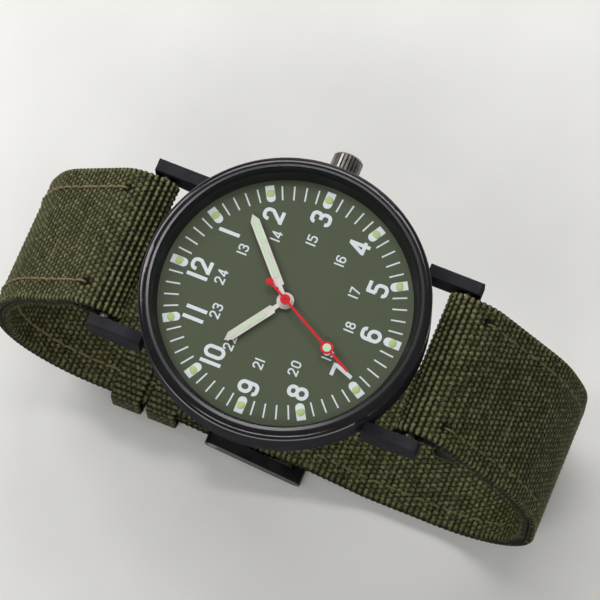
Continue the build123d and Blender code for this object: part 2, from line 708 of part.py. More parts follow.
def glyph(digit, height, pen):
    """Solid of one printed digit, standing on the baseline with its left edge at zero."""
    if digit == 1:
        return block((0, pen), (0, height), (0, PRINT_THICKNESS))
    run = height * GLYPH_WIDTH_SHARE - pen
    rise = height - pen
    half = pen / 2

    def place(share):
        return (half + share[0] * run, half + share[1] * rise)

    faces = []
    for points, bend_shares in STROKE_SHARES.get(digit, []):
        bends = [share * height for share in bend_shares]
        faces.append(band([place(share) for share in points], bends, half))
    for low_x, low_y, high_x, high_y in LOOP_SHARES.get(digit, []):
        faces.append(loop_face(place((low_x, low_y)) + place((high_x, high_y)), pen))
    frame = block((0, height * GLYPH_WIDTH_SHARE), (0, height), (-OVERRUN, OVERRUN))
    body = extrude(faces[0], PRINT_THICKNESS)
    for face in faces[1:]:
        body += extrude(face, PRINT_THICKNESS)
    return body & frame


def glyph_width(digit, height, pen):
    """Printed width of one digit."""
    return pen if digit == 1 else height * GLYPH_WIDTH_SHARE


def numeral_ring(numbers, height, pen, spaces, radius, shifts):
    """Numbers standing upright around the dial, two ones set wider, some hours shifted outward."""
    shapes = {digit: glyph(digit, height, pen) for digit in range(10)}
    placed = []
    for hour, number in numbers:
        digits = [int(letter) for letter in str(number)]
        widths = [glyph_width(digit, height, pen) for digit in digits]
        space = spaces[1] if digits == [1, 1] else spaces[0]
        total = sum(widths) + space * (len(digits) - 1)
        centre = polar(radius + shifts.get(hour, 0), 90 - 360 * hour / HOUR_COUNT)
        left = centre[0] - total / 2
        for digit, width in zip(digits, widths):
            placed.append(Pos(left, centre[1] - height / 2, 0) * shapes[digit])
            left += width + space
    return together(placed)


def hour_numerals():
    """Numbers 1 to 12."""
    numbers = [(hour, hour) for hour in range(1, HOUR_COUNT + 1)]
    spaces = (HOUR_NUMERAL_SPACE, HOUR_TWIN_ONE_SPACE)
    pen = HOUR_NUMERAL_PEN
    return numeral_ring(numbers, HOUR_NUMERAL_HEIGHT, pen, spaces, HOUR_NUMERAL_RADIUS, HOUR_NUMERAL_SHIFTS)


def inner_numerals():
    """Numbers 13 to 24."""
    numbers = [(hour, hour + HOUR_COUNT) for hour in range(1, HOUR_COUNT + 1)]
    spaces = (INNER_NUMERAL_SPACE, INNER_NUMERAL_SPACE)
    return numeral_ring(numbers, INNER_NUMERAL_HEIGHT, INNER_NUMERAL_PEN, spaces, INNER_NUMERAL_RADIUS, {})


def pencil_outline(tip, width, body_start, neck):
    """Corners of a hand that widens from its neck to an even body and ends in a point."""
    body_end = tip - HAND_POINT_LENGTH
    right = [
        (neck / 2, 0),
        (neck / 2, body_start),
        (width / 2, body_start + HAND_SHOULDER_LENGTH),
        (width / 2, body_end),
    ]
    return right + [(0, tip)] + [(-x, y) for x, y in reversed(right)]


def lume_outline(tip, width, body_start):
    """Corners of the luminous channel along a hand's body."""
    half = width / 2 - HAND_LUME_INSET
    start = body_start + HAND_LUME_SETBACK
    end = tip - HAND_POINT_LENGTH
    return [(half, start), (half, end), (0, end + HAND_POINT_LENGTH / 2), (-half, end), (-half, start)]


def broad_hand(tip, width, body_start, hub, bore, bottom, angle):
    """Hour or minute hand with an open channel for its lume."""
    top = bottom + HAND_THICKNESS
    hand = prism(pencil_outline(tip, width, body_start, HAND_NECK_WIDTH), bottom, top)
    hand += disc(hub, bottom, top)
    hand -= disc(bore, bottom - OVERRUN, top + OVERRUN)
    hand -= prism(lume_outline(tip, width, body_start), bottom - OVERRUN, top + OVERRUN)
    return Rot(0, 0, -angle) * hand


def broad_lume(tip, width, body_start, bottom, angle):
    """Lume that fills a broad hand's channel and stands a little proud."""
    height = HAND_THICKNESS + HAND_LUME_PROUD
    insert = prism(lume_outline(tip - SEAT_GAP, width - 2 * SEAT_GAP, body_start + SEAT_GAP), 0, height)
    return Rot(0, 0, -angle) * (Pos(0, 0, bottom) * insert)


def second_hand():
    """Red centre seconds hand with its lume ring and counterweight."""
    bottom, top = SECOND_HAND_BOTTOM, SECOND_HAND_BOTTOM + HAND_THICKNESS
    half = SECOND_WIDTH / 2
    hand = block((-half, half), (-SECOND_WEIGHT_PLACE, SECOND_TIP), (bottom, top))
    hand += disc(SECOND_HUB_RADIUS, bottom, top)
    hand += disc(SECOND_RING_RADIUS, bottom, top, (0, SECOND_RING_PLACE))
    hand += disc(SECOND_WEIGHT_RADIUS, bottom, top, (0, -SECOND_WEIGHT_PLACE))
    hand -= disc(SECOND_LUME_RADIUS, bottom - OVERRUN, top + OVERRUN, (0, SECOND_RING_PLACE))
    hand -= disc(SECOND_ARBOR_RADIUS, bottom - OVERRUN, top + OVERRUN)
    return Rot(0, 0, -SECOND_HAND_ANGLE) * hand


def second_hand_lume():
    """Luminous dot in the seconds hand's ring."""
    top = SECOND_HAND_BOTTOM + HAND_THICKNESS + HAND_LUME_PROUD
    dot = disc(SECOND_LUME_RADIUS - SEAT_GAP, SECOND_HAND_BOTTOM, top, (0, SECOND_RING_PLACE))
    return Rot(0, 0, -SECOND_HAND_ANGLE) * dot


def main_plate():
    """Main plate with pillars, studs, pivot holes and the slot for the stem."""
    plate = disc(MOVEMENT_RADIUS, PLATE_BOTTOM, PLATE_TOP)
    for place in PILLAR_PLACES:
        plate += disc(PILLAR_RADIUS, BRIDGE_TOP, PLATE_BOTTOM, place)
    plate += disc(LEVER_STUD_RADIUS, LEVER_STUD_END, PLATE_BOTTOM, LEVER_PLACE)
    plate += disc(MINUTE_STUD_RADIUS, PLATE_TOP, MINUTE_PINION_TOP, MINUTE_WHEEL_PLACE)
    for place in PILLAR_PLACES:
        thread_end = BRIDGE_TOP + SCREW_LENGTH - BRIDGE_THICKNESS
        plate -= disc(SCREW_RADIUS + SEAT_GAP, BRIDGE_TOP - OVERRUN, thread_end + SEAT_GAP, place)
    plate -= disc(CENTRE_TUBE_RADIUS + RUNNING_GAP, PLATE_BOTTOM - OVERRUN, PLATE_TOP + OVERRUN)
    for place in (THIRD_PLACE, STEP_PLACE, ROTOR_PLACE):
        hole_top = PLATE_BOTTOM + PIVOT_LENGTH + RUNNING_GAP
        plate -= disc(PIVOT_RADIUS + RUNNING_GAP, PLATE_BOTTOM - OVERRUN, hole_top, place)
    for side in (-1, 1):
        foot_hole = DIAL_FOOT_RADIUS + RUNNING_GAP
        place = (0, side * DIAL_FOOT_CIRCLE)
        plate -= disc(foot_hole, PLATE_BOTTOM - OVERRUN, PLATE_TOP + OVERRUN, place)
    half_slot = PLATE_STEM_SLOT / 2
    slot_x = (PLATE_STEM_SLOT_START, MOVEMENT_RADIUS + OVERRUN)
    return plate - block(slot_x, (-half_slot, half_slot), (PLATE_BOTTOM - OVERRUN, PLATE_TOP + OVERRUN))


def train_bridge():
    """Bridge over the wheels, holding their lower pivots."""
    places = PILLAR_PLACES + [THIRD_PLACE, STEP_PLACE, ROTOR_PLACE, (0, 0)]
    bridge = hull_plate([(place, BRIDGE_BOSS_RADIUS) for place in places], MOVEMENT_FLOOR, BRIDGE_TOP)
    low, high = MOVEMENT_FLOOR - OVERRUN, BRIDGE_TOP + OVERRUN
    for place in PILLAR_PLACES:
        bridge -= disc(SCREW_RADIUS + RUNNING_GAP, low, high, place)
    for place in (THIRD_PLACE, STEP_PLACE, ROTOR_PLACE, (0, 0)):
        bridge -= disc(PIVOT_RADIUS + RUNNING_GAP, low, high, place)
    return Pos(0, 0, -SEAT_GAP) * bridge


def bridge_screws():
    """Slotted screws through the bridge into the pillars."""
    seat = MOVEMENT_FLOOR - 2 * SEAT_GAP
    head_bottom = seat - SCREW_HEAD_HEIGHT
    screws = []
    for place in PILLAR_PLACES:
        screw = disc(SCREW_HEAD_RADIUS, head_bottom, seat, place)
        screw += disc(SCREW_RADIUS, seat, seat + SCREW_LENGTH, place)
        half = SCREW_SLOT_WIDTH / 2
        slot_x = (place[0] - SCREW_HEAD_RADIUS - OVERRUN, place[0] + SCREW_HEAD_RADIUS + OVERRUN)
        slot_y = (place[1] - half, place[1] + half)
        screw -= block(slot_x, slot_y, (head_bottom - OVERRUN, head_bottom + SCREW_SLOT_DEPTH))
        screws.append(screw)
    return together(screws)


def arbor(place, bottom, top):
    """Shaft with a thin pivot at each end."""
    shaft = disc(ARBOR_RADIUS, bottom + PIVOT_LENGTH, top - PIVOT_LENGTH, place)
    return shaft + disc(PIVOT_RADIUS, bottom, top, place)


ARBOR_BOTTOM = MOVEMENT_FLOOR + RUNNING_GAP
ARBOR_TOP = PLATE_BOTTOM + PIVOT_LENGTH


def pinion_heights(wheel_bottom):
    """Height range of a pinion that meshes with a wheel at this height."""
    return wheel_bottom - PINION_OVERLAP, wheel_bottom + WHEEL_THICKNESS + PINION_OVERLAP


def fourth_wheel():
    """Seconds wheel and pinion on the long centre arbor that carries the seconds hand."""
    top = SECOND_HAND_BOTTOM + HAND_THICKNESS
    wheel_top = FOURTH_WHEEL_BOTTOM + WHEEL_THICKNESS
    shaft = disc(SECOND_ARBOR_RADIUS, ARBOR_BOTTOM + PIVOT_LENGTH, top)
    shaft += disc(PIVOT_RADIUS, ARBOR_BOTTOM, top)
    shaft += toothed(STEP_MODULE, FOURTH_WHEEL_TEETH, FOURTH_WHEEL_BOTTOM, wheel_top, (0, 0), STEP_BEARING)
    low, high = pinion_heights(THIRD_WHEEL_BOTTOM)
    return shaft + toothed(FOURTH_MODULE, FOURTH_PINION_TEETH, low, high, (0, 0), THIRD_BEARING)


def third_wheel():
    """Wheel between the seconds pinion and the centre wheel."""
    wheel_top = THIRD_WHEEL_BOTTOM + WHEEL_THICKNESS
    shape = arbor(THIRD_PLACE, ARBOR_BOTTOM, ARBOR_TOP)
    bearing = facing_tooth(THIRD_WHEEL_TEETH, THIRD_BEARING)
    shape += toothed(FOURTH_MODULE, THIRD_WHEEL_TEETH, THIRD_WHEEL_BOTTOM, wheel_top, THIRD_PLACE, bearing)
    low, high = pinion_heights(CENTRE_WHEEL_BOTTOM)
    bearing = facing_tooth(THIRD_PINION_TEETH, THIRD_BEARING)
    return shape + toothed(THIRD_MODULE, THIRD_PINION_TEETH, low, high, THIRD_PLACE, bearing)


def centre_wheel():
    """Centre wheel and cannon pinion on the tube that carries the minute hand."""
    wheel_top = CENTRE_WHEEL_BOTTOM + WHEEL_THICKNESS
    shape = disc(CENTRE_TUBE_RADIUS, CENTRE_WHEEL_BOTTOM, MINUTE_HAND_BOTTOM + HAND_THICKNESS)
    shape += toothed(THIRD_MODULE, CENTRE_WHEEL_TEETH, CENTRE_WHEEL_BOTTOM, wheel_top, (0, 0), THIRD_BEARING)
    low = MINUTE_WHEEL_BOTTOM - PINION_OVERLAP
    high = MINUTE_WHEEL_BOTTOM + MINUTE_WHEEL_DISC + PINION_OVERLAP
    shape += toothed(MOTION_MODULE, CANNON_TEETH, low, high, (0, 0), MINUTE_WHEEL_BEARING)
    return shape - disc(CENTRE_TUBE_BORE, CENTRE_WHEEL_BOTTOM - OVERRUN, MINUTE_HAND_BOTTOM + OVERRUN)


def minute_wheel():
    """Motion-work wheel and pinion on a stud of the main plate."""
    disc_top = MINUTE_WHEEL_BOTTOM + MINUTE_WHEEL_DISC
    bearing = facing_tooth(MINUTE_WHEEL_TEETH, MINUTE_WHEEL_BEARING)
    shape = toothed(
        MOTION_MODULE, MINUTE_WHEEL_TEETH, MINUTE_WHEEL_BOTTOM, disc_top, MINUTE_WHEEL_PLACE, bearing
    )
    pinion = toothed(
        MOTION_MODULE, MINUTE_PINION_TEETH, disc_top, MINUTE_PINION_TOP, MINUTE_WHEEL_PLACE,
        MINUTE_WHEEL_BEARING + 180,
    )
    bore = MINUTE_STUD_RADIUS + RUNNING_GAP
    low, high = MINUTE_WHEEL_BOTTOM - OVERRUN, MINUTE_PINION_TOP + OVERRUN
    return shape + pinion - disc(bore, low, high, MINUTE_WHEEL_PLACE)


def hour_wheel():
    """Hour wheel on the outer tube that carries the hour hand."""
    disc_top = HOUR_WHEEL_BOTTOM + HOUR_WHEEL_DISC
    bearing = MINUTE_WHEEL_BEARING + 180 / HOUR_WHEEL_TEETH
    shape = toothed(MOTION_MODULE, HOUR_WHEEL_TEETH, HOUR_WHEEL_BOTTOM, disc_top, (0, 0), bearing)
    top = HOUR_HAND_BOTTOM + HAND_THICKNESS
    shape += disc(HOUR_TUBE_RADIUS, HOUR_WHEEL_BOTTOM, top)
    return shape - disc(CENTRE_TUBE_RADIUS + RUNNING_GAP, HOUR_WHEEL_BOTTOM - OVERRUN, top + OVERRUN)


def intermediate_wheel():
    """Step-down wheel between the rotor and the seconds wheel."""
    wheel_top = STEP_WHEEL_BOTTOM + WHEEL_THICKNESS
    shape = arbor(STEP_PLACE, ARBOR_BOTTOM, ARBOR_TOP)
    shape += toothed(ROTOR_MODULE, STEP_WHEEL_TEETH, STEP_WHEEL_BOTTOM, wheel_top, STEP_PLACE, ROTOR_BEARING)
    low, high = pinion_heights(FOURTH_WHEEL_BOTTOM)
    bearing = facing_tooth(STEP_PINION_TEETH, STEP_BEARING)
    return shape + toothed(STEP_MODULE, STEP_PINION_TEETH, low, high, STEP_PLACE, bearing)


def rotor():
    """Stepping rotor: magnet and pinion on one arbor."""
    shape = arbor(ROTOR_PLACE, ARBOR_BOTTOM, ARBOR_TOP)
    shape += disc(MAGNET_RADIUS, MAGNET_BOTTOM, MAGNET_TOP, ROTOR_PLACE)
    low, high = pinion_heights(STEP_WHEEL_BOTTOM)
    bearing = facing_tooth(ROTOR_TEETH, ROTOR_BEARING)
    return shape + toothed(ROTOR_MODULE, ROTOR_TEETH, low, high, ROTOR_PLACE, bearing)


def coil_end(side):
    """Centre of the coil core's left or right end."""
    reach = COIL_CORE_LENGTH / 2 - COIL_CORE_WIDTH / 2
    return (COIL_SIDE_SHIFT + side * reach, -COIL_DROP)


def stator():
    """Stator plate round the rotor, with a leg to each end of the coil."""
    top = STATOR_BOTTOM + STATOR_THICKNESS
    lobe = (ROTOR_PLACE, STATOR_LOBE_RADIUS)
    plate = hull_plate([lobe, (coil_end(-1), STATOR_END_RADIUS)], STATOR_BOTTOM, top)
    plate += hull_plate([lobe, (coil_end(1), STATOR_END_RADIUS)], STATOR_BOTTOM, top)
    hole = MAGNET_RADIUS + STATOR_AIR_GAP
    return plate - disc(hole, STATOR_BOTTOM - OVERRUN, top + OVERRUN, ROTOR_PLACE)


def drive_coil():
    """Motor coil: a rounded winding on a flat core."""
    top = STATOR_BOTTOM - SEAT_GAP
    centre_x, centre_y = COIL_SIDE_SHIFT, -COIL_DROP
    winding = Box(COIL_LENGTH, COIL_WIDTH, COIL_HEIGHT)
    winding = fillet(winding.edges().filter_by(Axis.X), COIL_ROUNDING)
    winding = Pos(centre_x, centre_y, top - COIL_HEIGHT / 2) * winding
    half_core = COIL_CORE_LENGTH / 2
    core_x = (centre_x - half_core, centre_x + half_core)
    core_y = (centre_y - COIL_CORE_WIDTH / 2, centre_y + COIL_CORE_WIDTH / 2)
    return winding + block(core_x, core_y, (top - COIL_CORE_THICKNESS, top))


def battery_cell():
    """Button cell: wide can with a smaller cap towards the plate."""
    bottom = BATTERY_TOP - BATTERY_THICKNESS
    step = BATTERY_TOP - BATTERY_CAP_HEIGHT
    can = disc(BATTERY_RADIUS, bottom, step, BATTERY_PLACE)
    return can + disc(BATTERY_CAP_RADIUS, step, BATTERY_TOP, BATTERY_PLACE)


def battery_clamp():
    """Sprung strip across the cell, with a leg down to the plate at each end."""
    face = BATTERY_TOP - BATTERY_THICKNESS - SEAT_GAP
    reach = BATTERY_RADIUS + CLAMP_SIDE_GAP
    outer = reach + CLAMP_LEG
    half = CLAMP_WIDTH / 2
    clamp = block((-half, half), (-outer, outer), (face - CLAMP_THICKNESS, face))
    for side in (-1, 1):
        leg_y = sorted((side * reach, side * outer))
        clamp += block((-half, half), leg_y, (face - CLAMP_THICKNESS, PLATE_BOTTOM - SEAT_GAP))
    return Pos(*BATTERY_PLACE) * Rot(0, 0, BATTERY_BEARING) * clamp


def on_board(shape):
    """Turn a shape built round the board's middle into its place in the movement."""
    return Pos(*BOARD_PLACE) * Rot(0, 0, BOARD_BEARING) * shape


def circuit_board():
    """Circuit board with its sealed chip."""
    bottom = BOARD_TOP - BOARD_THICKNESS
    half_w, half_l = BOARD_WIDTH / 2, BOARD_LENGTH / 2
    board = block((-half_w, half_w), (-half_l, half_l), (bottom, BOARD_TOP))
    chip = Pos(-half_w / 2, CHIP_OFFSET, bottom - CHIP_HEIGHT) * Box(
        CHIP_SIZE, CHIP_SIZE, CHIP_HEIGHT, align=UP
    )
    return on_board(board + chip)


def timing_crystal():
    """Metal can of the quartz crystal, lying on the board."""
    height = BOARD_TOP - BOARD_THICKNESS - SEAT_GAP - QUARTZ_RADIUS
    half = QUARTZ_LENGTH / 2
    can = Pos(QUARTZ_OFFSET, half, height) * Rot(90, 0, 0) * Cylinder(QUARTZ_RADIUS, QUARTZ_LENGTH, align=UP)
    return on_board(can)


def setting_lever():
    """Lever that a groove in the stem swings as the crown is pulled."""
    nose = (LEVER_PLACE[0], LEVER_NOSE_OFFSET)
    bottom = LEVER_TOP - LEVER_THICKNESS
    lever = hull_plate([(LEVER_PLACE, LEVER_HUB_RADIUS), (nose, LEVER_TIP_RADIUS)], bottom, LEVER_TOP)
    lever += disc(LEVER_HUB_RADIUS, LEVER_TOP, PLATE_BOTTOM - RUNNING_GAP, LEVER_PLACE)
    lever += disc(LEVER_NOSE_RADIUS, LEVER_TOP, LEVER_NOSE_TOP, nose)
    bore = LEVER_STUD_RADIUS + RUNNING_GAP
    return lever - disc(bore, bottom - OVERRUN, PLATE_TOP, LEVER_PLACE)


def stem():
    """Winding stem with the lever's groove, up to its seat in the crown."""
    end = CROWN_START + CROWN_CAVITY_DEPTH + STEM_SEAT_DEPTH
    shaft = rod(STEM_RADIUS, STEM_START, end, 0, CROWN_AXIS_HEIGHT)
    groove_end = STEM_GROOVE_START + STEM_GROOVE_LENGTH
    groove = rod(CROWN_RADIUS, STEM_GROOVE_START, groove_end, 0, CROWN_AXIS_HEIGHT)
    core = rod(STEM_GROOVE_RADIUS, STEM_START, groove_end + OVERRUN, 0, CROWN_AXIS_HEIGHT)
    return shaft - groove + core


def crown():
    """Fluted crown with a domed end, hollow over its tube."""
    rim = CROWN_RADIUS - CROWN_RIM_CHAMFER
    face_edge = (CROWN_END - CROWN_DOME_DROP, CROWN_RADIUS - CROWN_END_CHAMFER)
    shoulder = (face_edge[0] - CROWN_END_CHAMFER, CROWN_RADIUS)
    side = [(CROWN_START, rim), (CROWN_START + CROWN_RIM_CHAMFER, CROWN_RADIUS), shoulder, face_edge]
    profile = (
        Polyline((CROWN_END, 0), (CROWN_START, 0), (CROWN_START, rim))
        + Polyline(*side)
        + TangentArc((CROWN_END, 0), face_edge, tangent=(0, 1))
    )
    body = revolve(make_face(Plane.XZ * profile), Axis.X)
    half_angle = CROWN_FLUTE_SHARE * 180 / CROWN_FLUTE_COUNT
    root = CROWN_RADIUS - CROWN_FLUTE_DEPTH
    wide = CROWN_RADIUS + CROWN_FLUTE_DEPTH
    flute_points = [
        polar(root, 0),
        polar(wide, half_angle * wide / CROWN_RADIUS),
        polar(wide, -half_angle * wide / CROWN_RADIUS),
    ]
    flute_face = make_face(Plane.YZ * Polyline(*flute_points, close=True))
    flute = Pos(CROWN_START - OVERRUN, 0, 0) * extrude(
        flute_face, CROWN_LENGTH + 2 * OVERRUN, dir=(1, 0, 0)
    )
    turns = [Rot(360 * number / CROWN_FLUTE_COUNT, 0, 0) for number in range(CROWN_FLUTE_COUNT)]
    body -= [turn * flute for turn in turns]
    body -= rod(CROWN_CAVITY_RADIUS, CROWN_START - OVERRUN, CROWN_START + CROWN_CAVITY_DEPTH)
    seat_end = CROWN_START + CROWN_CAVITY_DEPTH + STEM_SEAT_DEPTH + SEAT_GAP
    body -= rod(STEM_RADIUS + SEAT_GAP, CROWN_START, seat_end)
    return Pos(0, 0, CROWN_AXIS_HEIGHT) * body


def pipe(outer, inner, start, end, y=0, z=0):
    """Tube along X between two places."""
    return rod(outer, start, end, y, z) - rod(inner, start - OVERRUN, end + OVERRUN, y, z)


def crown_tube():
    """Tube pressed into the case, on which the crown slides."""
    return pipe(TUBE_RADIUS, TUBE_BORE, TUBE_START, TUBE_END, 0, CROWN_AXIS_HEIGHT)


def crown_gasket():
    """Sealing ring between tube and crown, which slides with the crown."""
    outer = CROWN_CAVITY_RADIUS - RUNNING_GAP
    inner = TUBE_RADIUS + RUNNING_GAP
    end = CROWN_GASKET_START + CROWN_GASKET_LENGTH
    return pipe(outer, inner, CROWN_GASKET_START, end, 0, CROWN_AXIS_HEIGHT)


def movement_holder():
    """Plastic ring that centres the movement in the case."""
    outer = CASE_BORE - RUNNING_GAP
    body = ring(outer, MOVEMENT_RADIUS + RUNNING_GAP, HOLDER_BOTTOM, HOLDER_TOP)
    return body - rod(HOLDER_STEM_HOLE, MOVEMENT_RADIUS - OVERRUN, CASE_RADIUS, 0, CROWN_AXIS_HEIGHT)


def case_back():
    """Screwed back with key notches, a gasket groove and a plug ring."""
    face = CASE_BOTTOM - SEAT_GAP
    bottom = face - BACK_THICKNESS
    back = disc(BACK_RADIUS, bottom, face)
    back = chamfer(back.edges().sort_by(Axis.Z)[0], BACK_NOTCH_DEPTH / 2)
    plug = CASE_BORE - RUNNING_GAP
    back += ring(plug, plug - BACK_PLUG_WALL, face, CASE_BOTTOM + BACK_PLUG_HEIGHT)
    groove_in = CASE_BORE + RUNNING_GAP
    groove_out = groove_in + BACK_GASKET_WIDTH + 2 * SEAT_GAP
    back -= ring(groove_out, groove_in, face - BACK_GASKET_HEIGHT, face + OVERRUN)
    half = BACK_NOTCH_WIDTH / 2
    radii = (BACK_NOTCH_CIRCLE - BACK_NOTCH_LENGTH / 2, BACK_NOTCH_CIRCLE + BACK_NOTCH_LENGTH / 2)
    notch = block(radii, (-half, half), (bottom - OVERRUN, bottom + BACK_NOTCH_DEPTH))
    for number in range(BACK_NOTCH_COUNT):
        back -= Rot(0, 0, 360 * number / BACK_NOTCH_COUNT) * notch
    return back


def case_back_gasket():
    """Seal in the case back's groove."""
    inner = CASE_BORE + RUNNING_GAP + SEAT_GAP
    bottom = CASE_BOTTOM - BACK_GASKET_HEIGHT
    return ring(inner + BACK_GASKET_WIDTH, inner, bottom, CASE_BOTTOM - SEAT_GAP)


def spring_bar_tube(side):
    """Outer tube of one spring bar."""
    place = side * BAR_PLACE
    return pipe(BAR_TUBE_RADIUS, BAR_TUBE_BORE, -BAR_TUBE_HALF, BAR_TUBE_HALF, place, BAR_HEIGHT)


def spring_bar_tip(side, end):
    """Sprung tip: inner rod, flange and the pivot that enters the lug."""
    place = side * BAR_PLACE
    tip = rod(BAR_TUBE_BORE - RUNNING_GAP, BAR_ROD_START, BAR_FLANGE_START, place, BAR_HEIGHT)
    tip += rod(BAR_FLANGE_RADIUS, BAR_FLANGE_START, BAR_FLANGE_END, place, BAR_HEIGHT)
    tip += rod(BAR_PIVOT_RADIUS, BAR_FLANGE_END, LUG_INNER + BAR_PIVOT_REACH, place, BAR_HEIGHT)
    return tip if end > 0 else mirror(tip, Plane.YZ)


def spring_bar_spring(side):
    """Coil spring inside the tube, as the hollow cylinder that it fills."""
    reach = BAR_ROD_START - SEAT_GAP
    outer = BAR_TUBE_BORE - RUNNING_GAP
    return pipe(outer, BAR_SPRING_BORE, -reach, reach, side * BAR_PLACE, BAR_HEIGHT)


def half_loop(floor_height):
    """Middle line of one strap half from its spring bar down to the lower stretch."""
    points = [
        (BAR_PLACE, STRAP_TOP_MIDDLE),
        (SHOULDER_PLACE, STRAP_TOP_MIDDLE),
        (SLOPE_END_PLACE, SLOPE_END_HEIGHT),
        (SIDE_PLACE, SIDE_START_HEIGHT),
        (SIDE_PLACE, floor_height),
    ]
    return points, [SHOULDER_RADIUS, SLOPE_END_RADIUS, SIDE_START_RADIUS, CORNER_RADIUS]


def across(face, half_width=HALF_STRAP):
    """Solid of a (Y, Z) face across the strap's width."""
    return extrude(Plane.YZ * face, half_width, both=True)


def bar_eye():
    """Face of the fold round the spring bar, down to where the two layers meet."""
    eye = Pos(BAR_PLACE, BAR_HEIGHT) * Circle(BAR_EYE_RADIUS)
    low = BAR_HEIGHT - BAR_EYE_RADIUS
    wedge = [
        (BAR_PLACE, STRAP_TOP_MIDDLE),
        (BAR_PLACE, low),
        (BAR_PLACE + EYE_TAPER, BAR_HEIGHT),
        (SHOULDER_PLACE, STRAP_TOP_MIDDLE),
    ]
    return eye + make_face(Polyline(*wedge, close=True))


def strap_buckle_half():
    """Strap half from the 12 o'clock bar to the buckle pin, folded round both."""
    points, radii = half_loop(FLOOR_STRETCH_HEIGHT)
    points.append((PIN_PLACE, FLOOR_STRETCH_HEIGHT))
    half = across(band(points, radii, HALF_BAND)) + across(bar_eye())
    pin_eye = Pos(PIN_PLACE, FLOOR_STRETCH_HEIGHT) * Circle(PIN_EYE_RADIUS)
    taper = [
        (PIN_PLACE, FLOOR_STRETCH_HEIGHT + PIN_EYE_RADIUS),
        (PIN_PLACE + PIN_EYE_TAPER, FLOOR_STRETCH_HEIGHT + HALF_BAND),
        (PIN_PLACE + PIN_EYE_TAPER, FLOOR_STRETCH_HEIGHT - HALF_BAND),
        (PIN_PLACE, FLOOR_STRETCH_HEIGHT - PIN_EYE_RADIUS),
    ]
    half += across(pin_eye + make_face(Polyline(*taper, close=True)))
    reach = HALF_STRAP + OVERRUN
    half -= rod(BAR_EYE_BORE, -reach, reach, BAR_PLACE, BAR_HEIGHT)
    half -= rod(PIN_EYE_BORE, -reach, reach, PIN_PLACE, FLOOR_STRETCH_HEIGHT)
    slot_half = TONGUE_SLOT_WIDTH / 2
    slot_y = (PIN_PLACE - PIN_EYE_RADIUS - OVERRUN, PIN_PLACE + PIN_EYE_RADIUS)
    slot_z = (FLOOR_STRETCH_HEIGHT - PIN_EYE_RADIUS - OVERRUN, FLOOR_STRETCH_HEIGHT + PIN_EYE_RADIUS + OVERRUN)
    return half - block((-slot_half, slot_half), slot_y, slot_z)


def down(drop):
    """Height at a drop below the middle of the strap's lower stretch."""
    return FLOOR_STRETCH_HEIGHT - drop


def tail_line():
    """Middle line of the tail half, from the 6 o'clock bar through the buckle to its tip."""
    points, radii = half_loop(down(TAIL_STRETCH_DROP))
    points = [(-y, z) for y, z in points]
    points += [
        (TAIL_RISE_START, down(TAIL_STRETCH_DROP)),
        (TAIL_RISE_END, down(TAIL_BAR_DROP)),
        (TAIL_FALL_START, down(TAIL_BAR_DROP)),
        (TAIL_PIN_START, down(TAIL_PIN_DROP)),
        (TAIL_PIN_END, down(TAIL_PIN_DROP)),
        (TAIL_LAY_START, down(TAIL_LAY_DROP)),
        (TAIL_TIP, down(TAIL_LAY_DROP)),
    ]
    return points, radii + [TAIL_BEND_RADIUS] * 6


def tail_hole(line, distance):
    """Cutter for one buckle hole, square to the strap at a distance along its middle line."""
    centre = line.position_at(distance, position_mode=PositionMode.LENGTH)
    along = line.tangent_at(distance, position_mode=PositionMode.LENGTH)
    plane = Plane(centre, x_dir=along, z_dir=along.cross(Vector(1, 0, 0)))
    return extrude(plane * SlotOverall(HOLE_LENGTH, HOLE_WIDTH), STRAP_THICKNESS, both=True)


def strap_tail_half():
    """Strap half from the 6 o'clock bar, through the buckle, to the pointed tip."""
    points, radii = tail_line()
    tail = across(band(points, radii, HALF_BAND)) + across(mirror(bar_eye(), Plane.YZ))
    reach = HALF_STRAP + OVERRUN
    tail -= rod(BAR_EYE_BORE, -reach, reach, -BAR_PLACE, BAR_HEIGHT)
    line = Plane.YZ * rounded_line(points, radii)
    used = line.length - (TAIL_TIP - HOLE_USED_PLACE) - hole_slack(line)
    for number in range(HOLE_COUNT):
        tail -= tail_hole(line, used + (HOLE_USED - 1 - number) * HOLE_PITCH)
    corner = [
        (HALF_STRAP + OVERRUN, TAIL_TIP - TAIL_POINT_LENGTH),
        (HALF_STRAP + OVERRUN, TAIL_TIP + OVERRUN),
        (TAIL_POINT_WIDTH / 2, TAIL_TIP + OVERRUN),
        (TAIL_POINT_WIDTH / 2, TAIL_TIP),
        (HALF_STRAP, TAIL_TIP - TAIL_POINT_LENGTH),
    ]
    cutter = prism(corner, down(TAIL_LAY_DROP + STRAP_THICKNESS), down(TAIL_LAY_DROP - STRAP_THICKNESS))
    tail -= [cutter, mirror(cutter, Plane.YZ)]
    print("buckle hole in use, mm from the bar:", round(used, 1), "tail length:", round(line.length, 1))
    return tail


def hole_slack(line):
    """Extra length that the tail's slopes add between the used hole and its tip."""
    first = math.dist((TAIL_FALL_START, TAIL_BAR_DROP), (TAIL_PIN_START, TAIL_PIN_DROP))
    share = (TAIL_PIN_START - HOLE_USED_PLACE) / (TAIL_PIN_START - TAIL_FALL_START)
    last = math.dist((TAIL_PIN_END, TAIL_PIN_DROP), (TAIL_LAY_START, TAIL_LAY_DROP))
    flat = (TAIL_PIN_START - HOLE_USED_PLACE) + (TAIL_LAY_START - TAIL_PIN_END)
    return first * share + last - flat


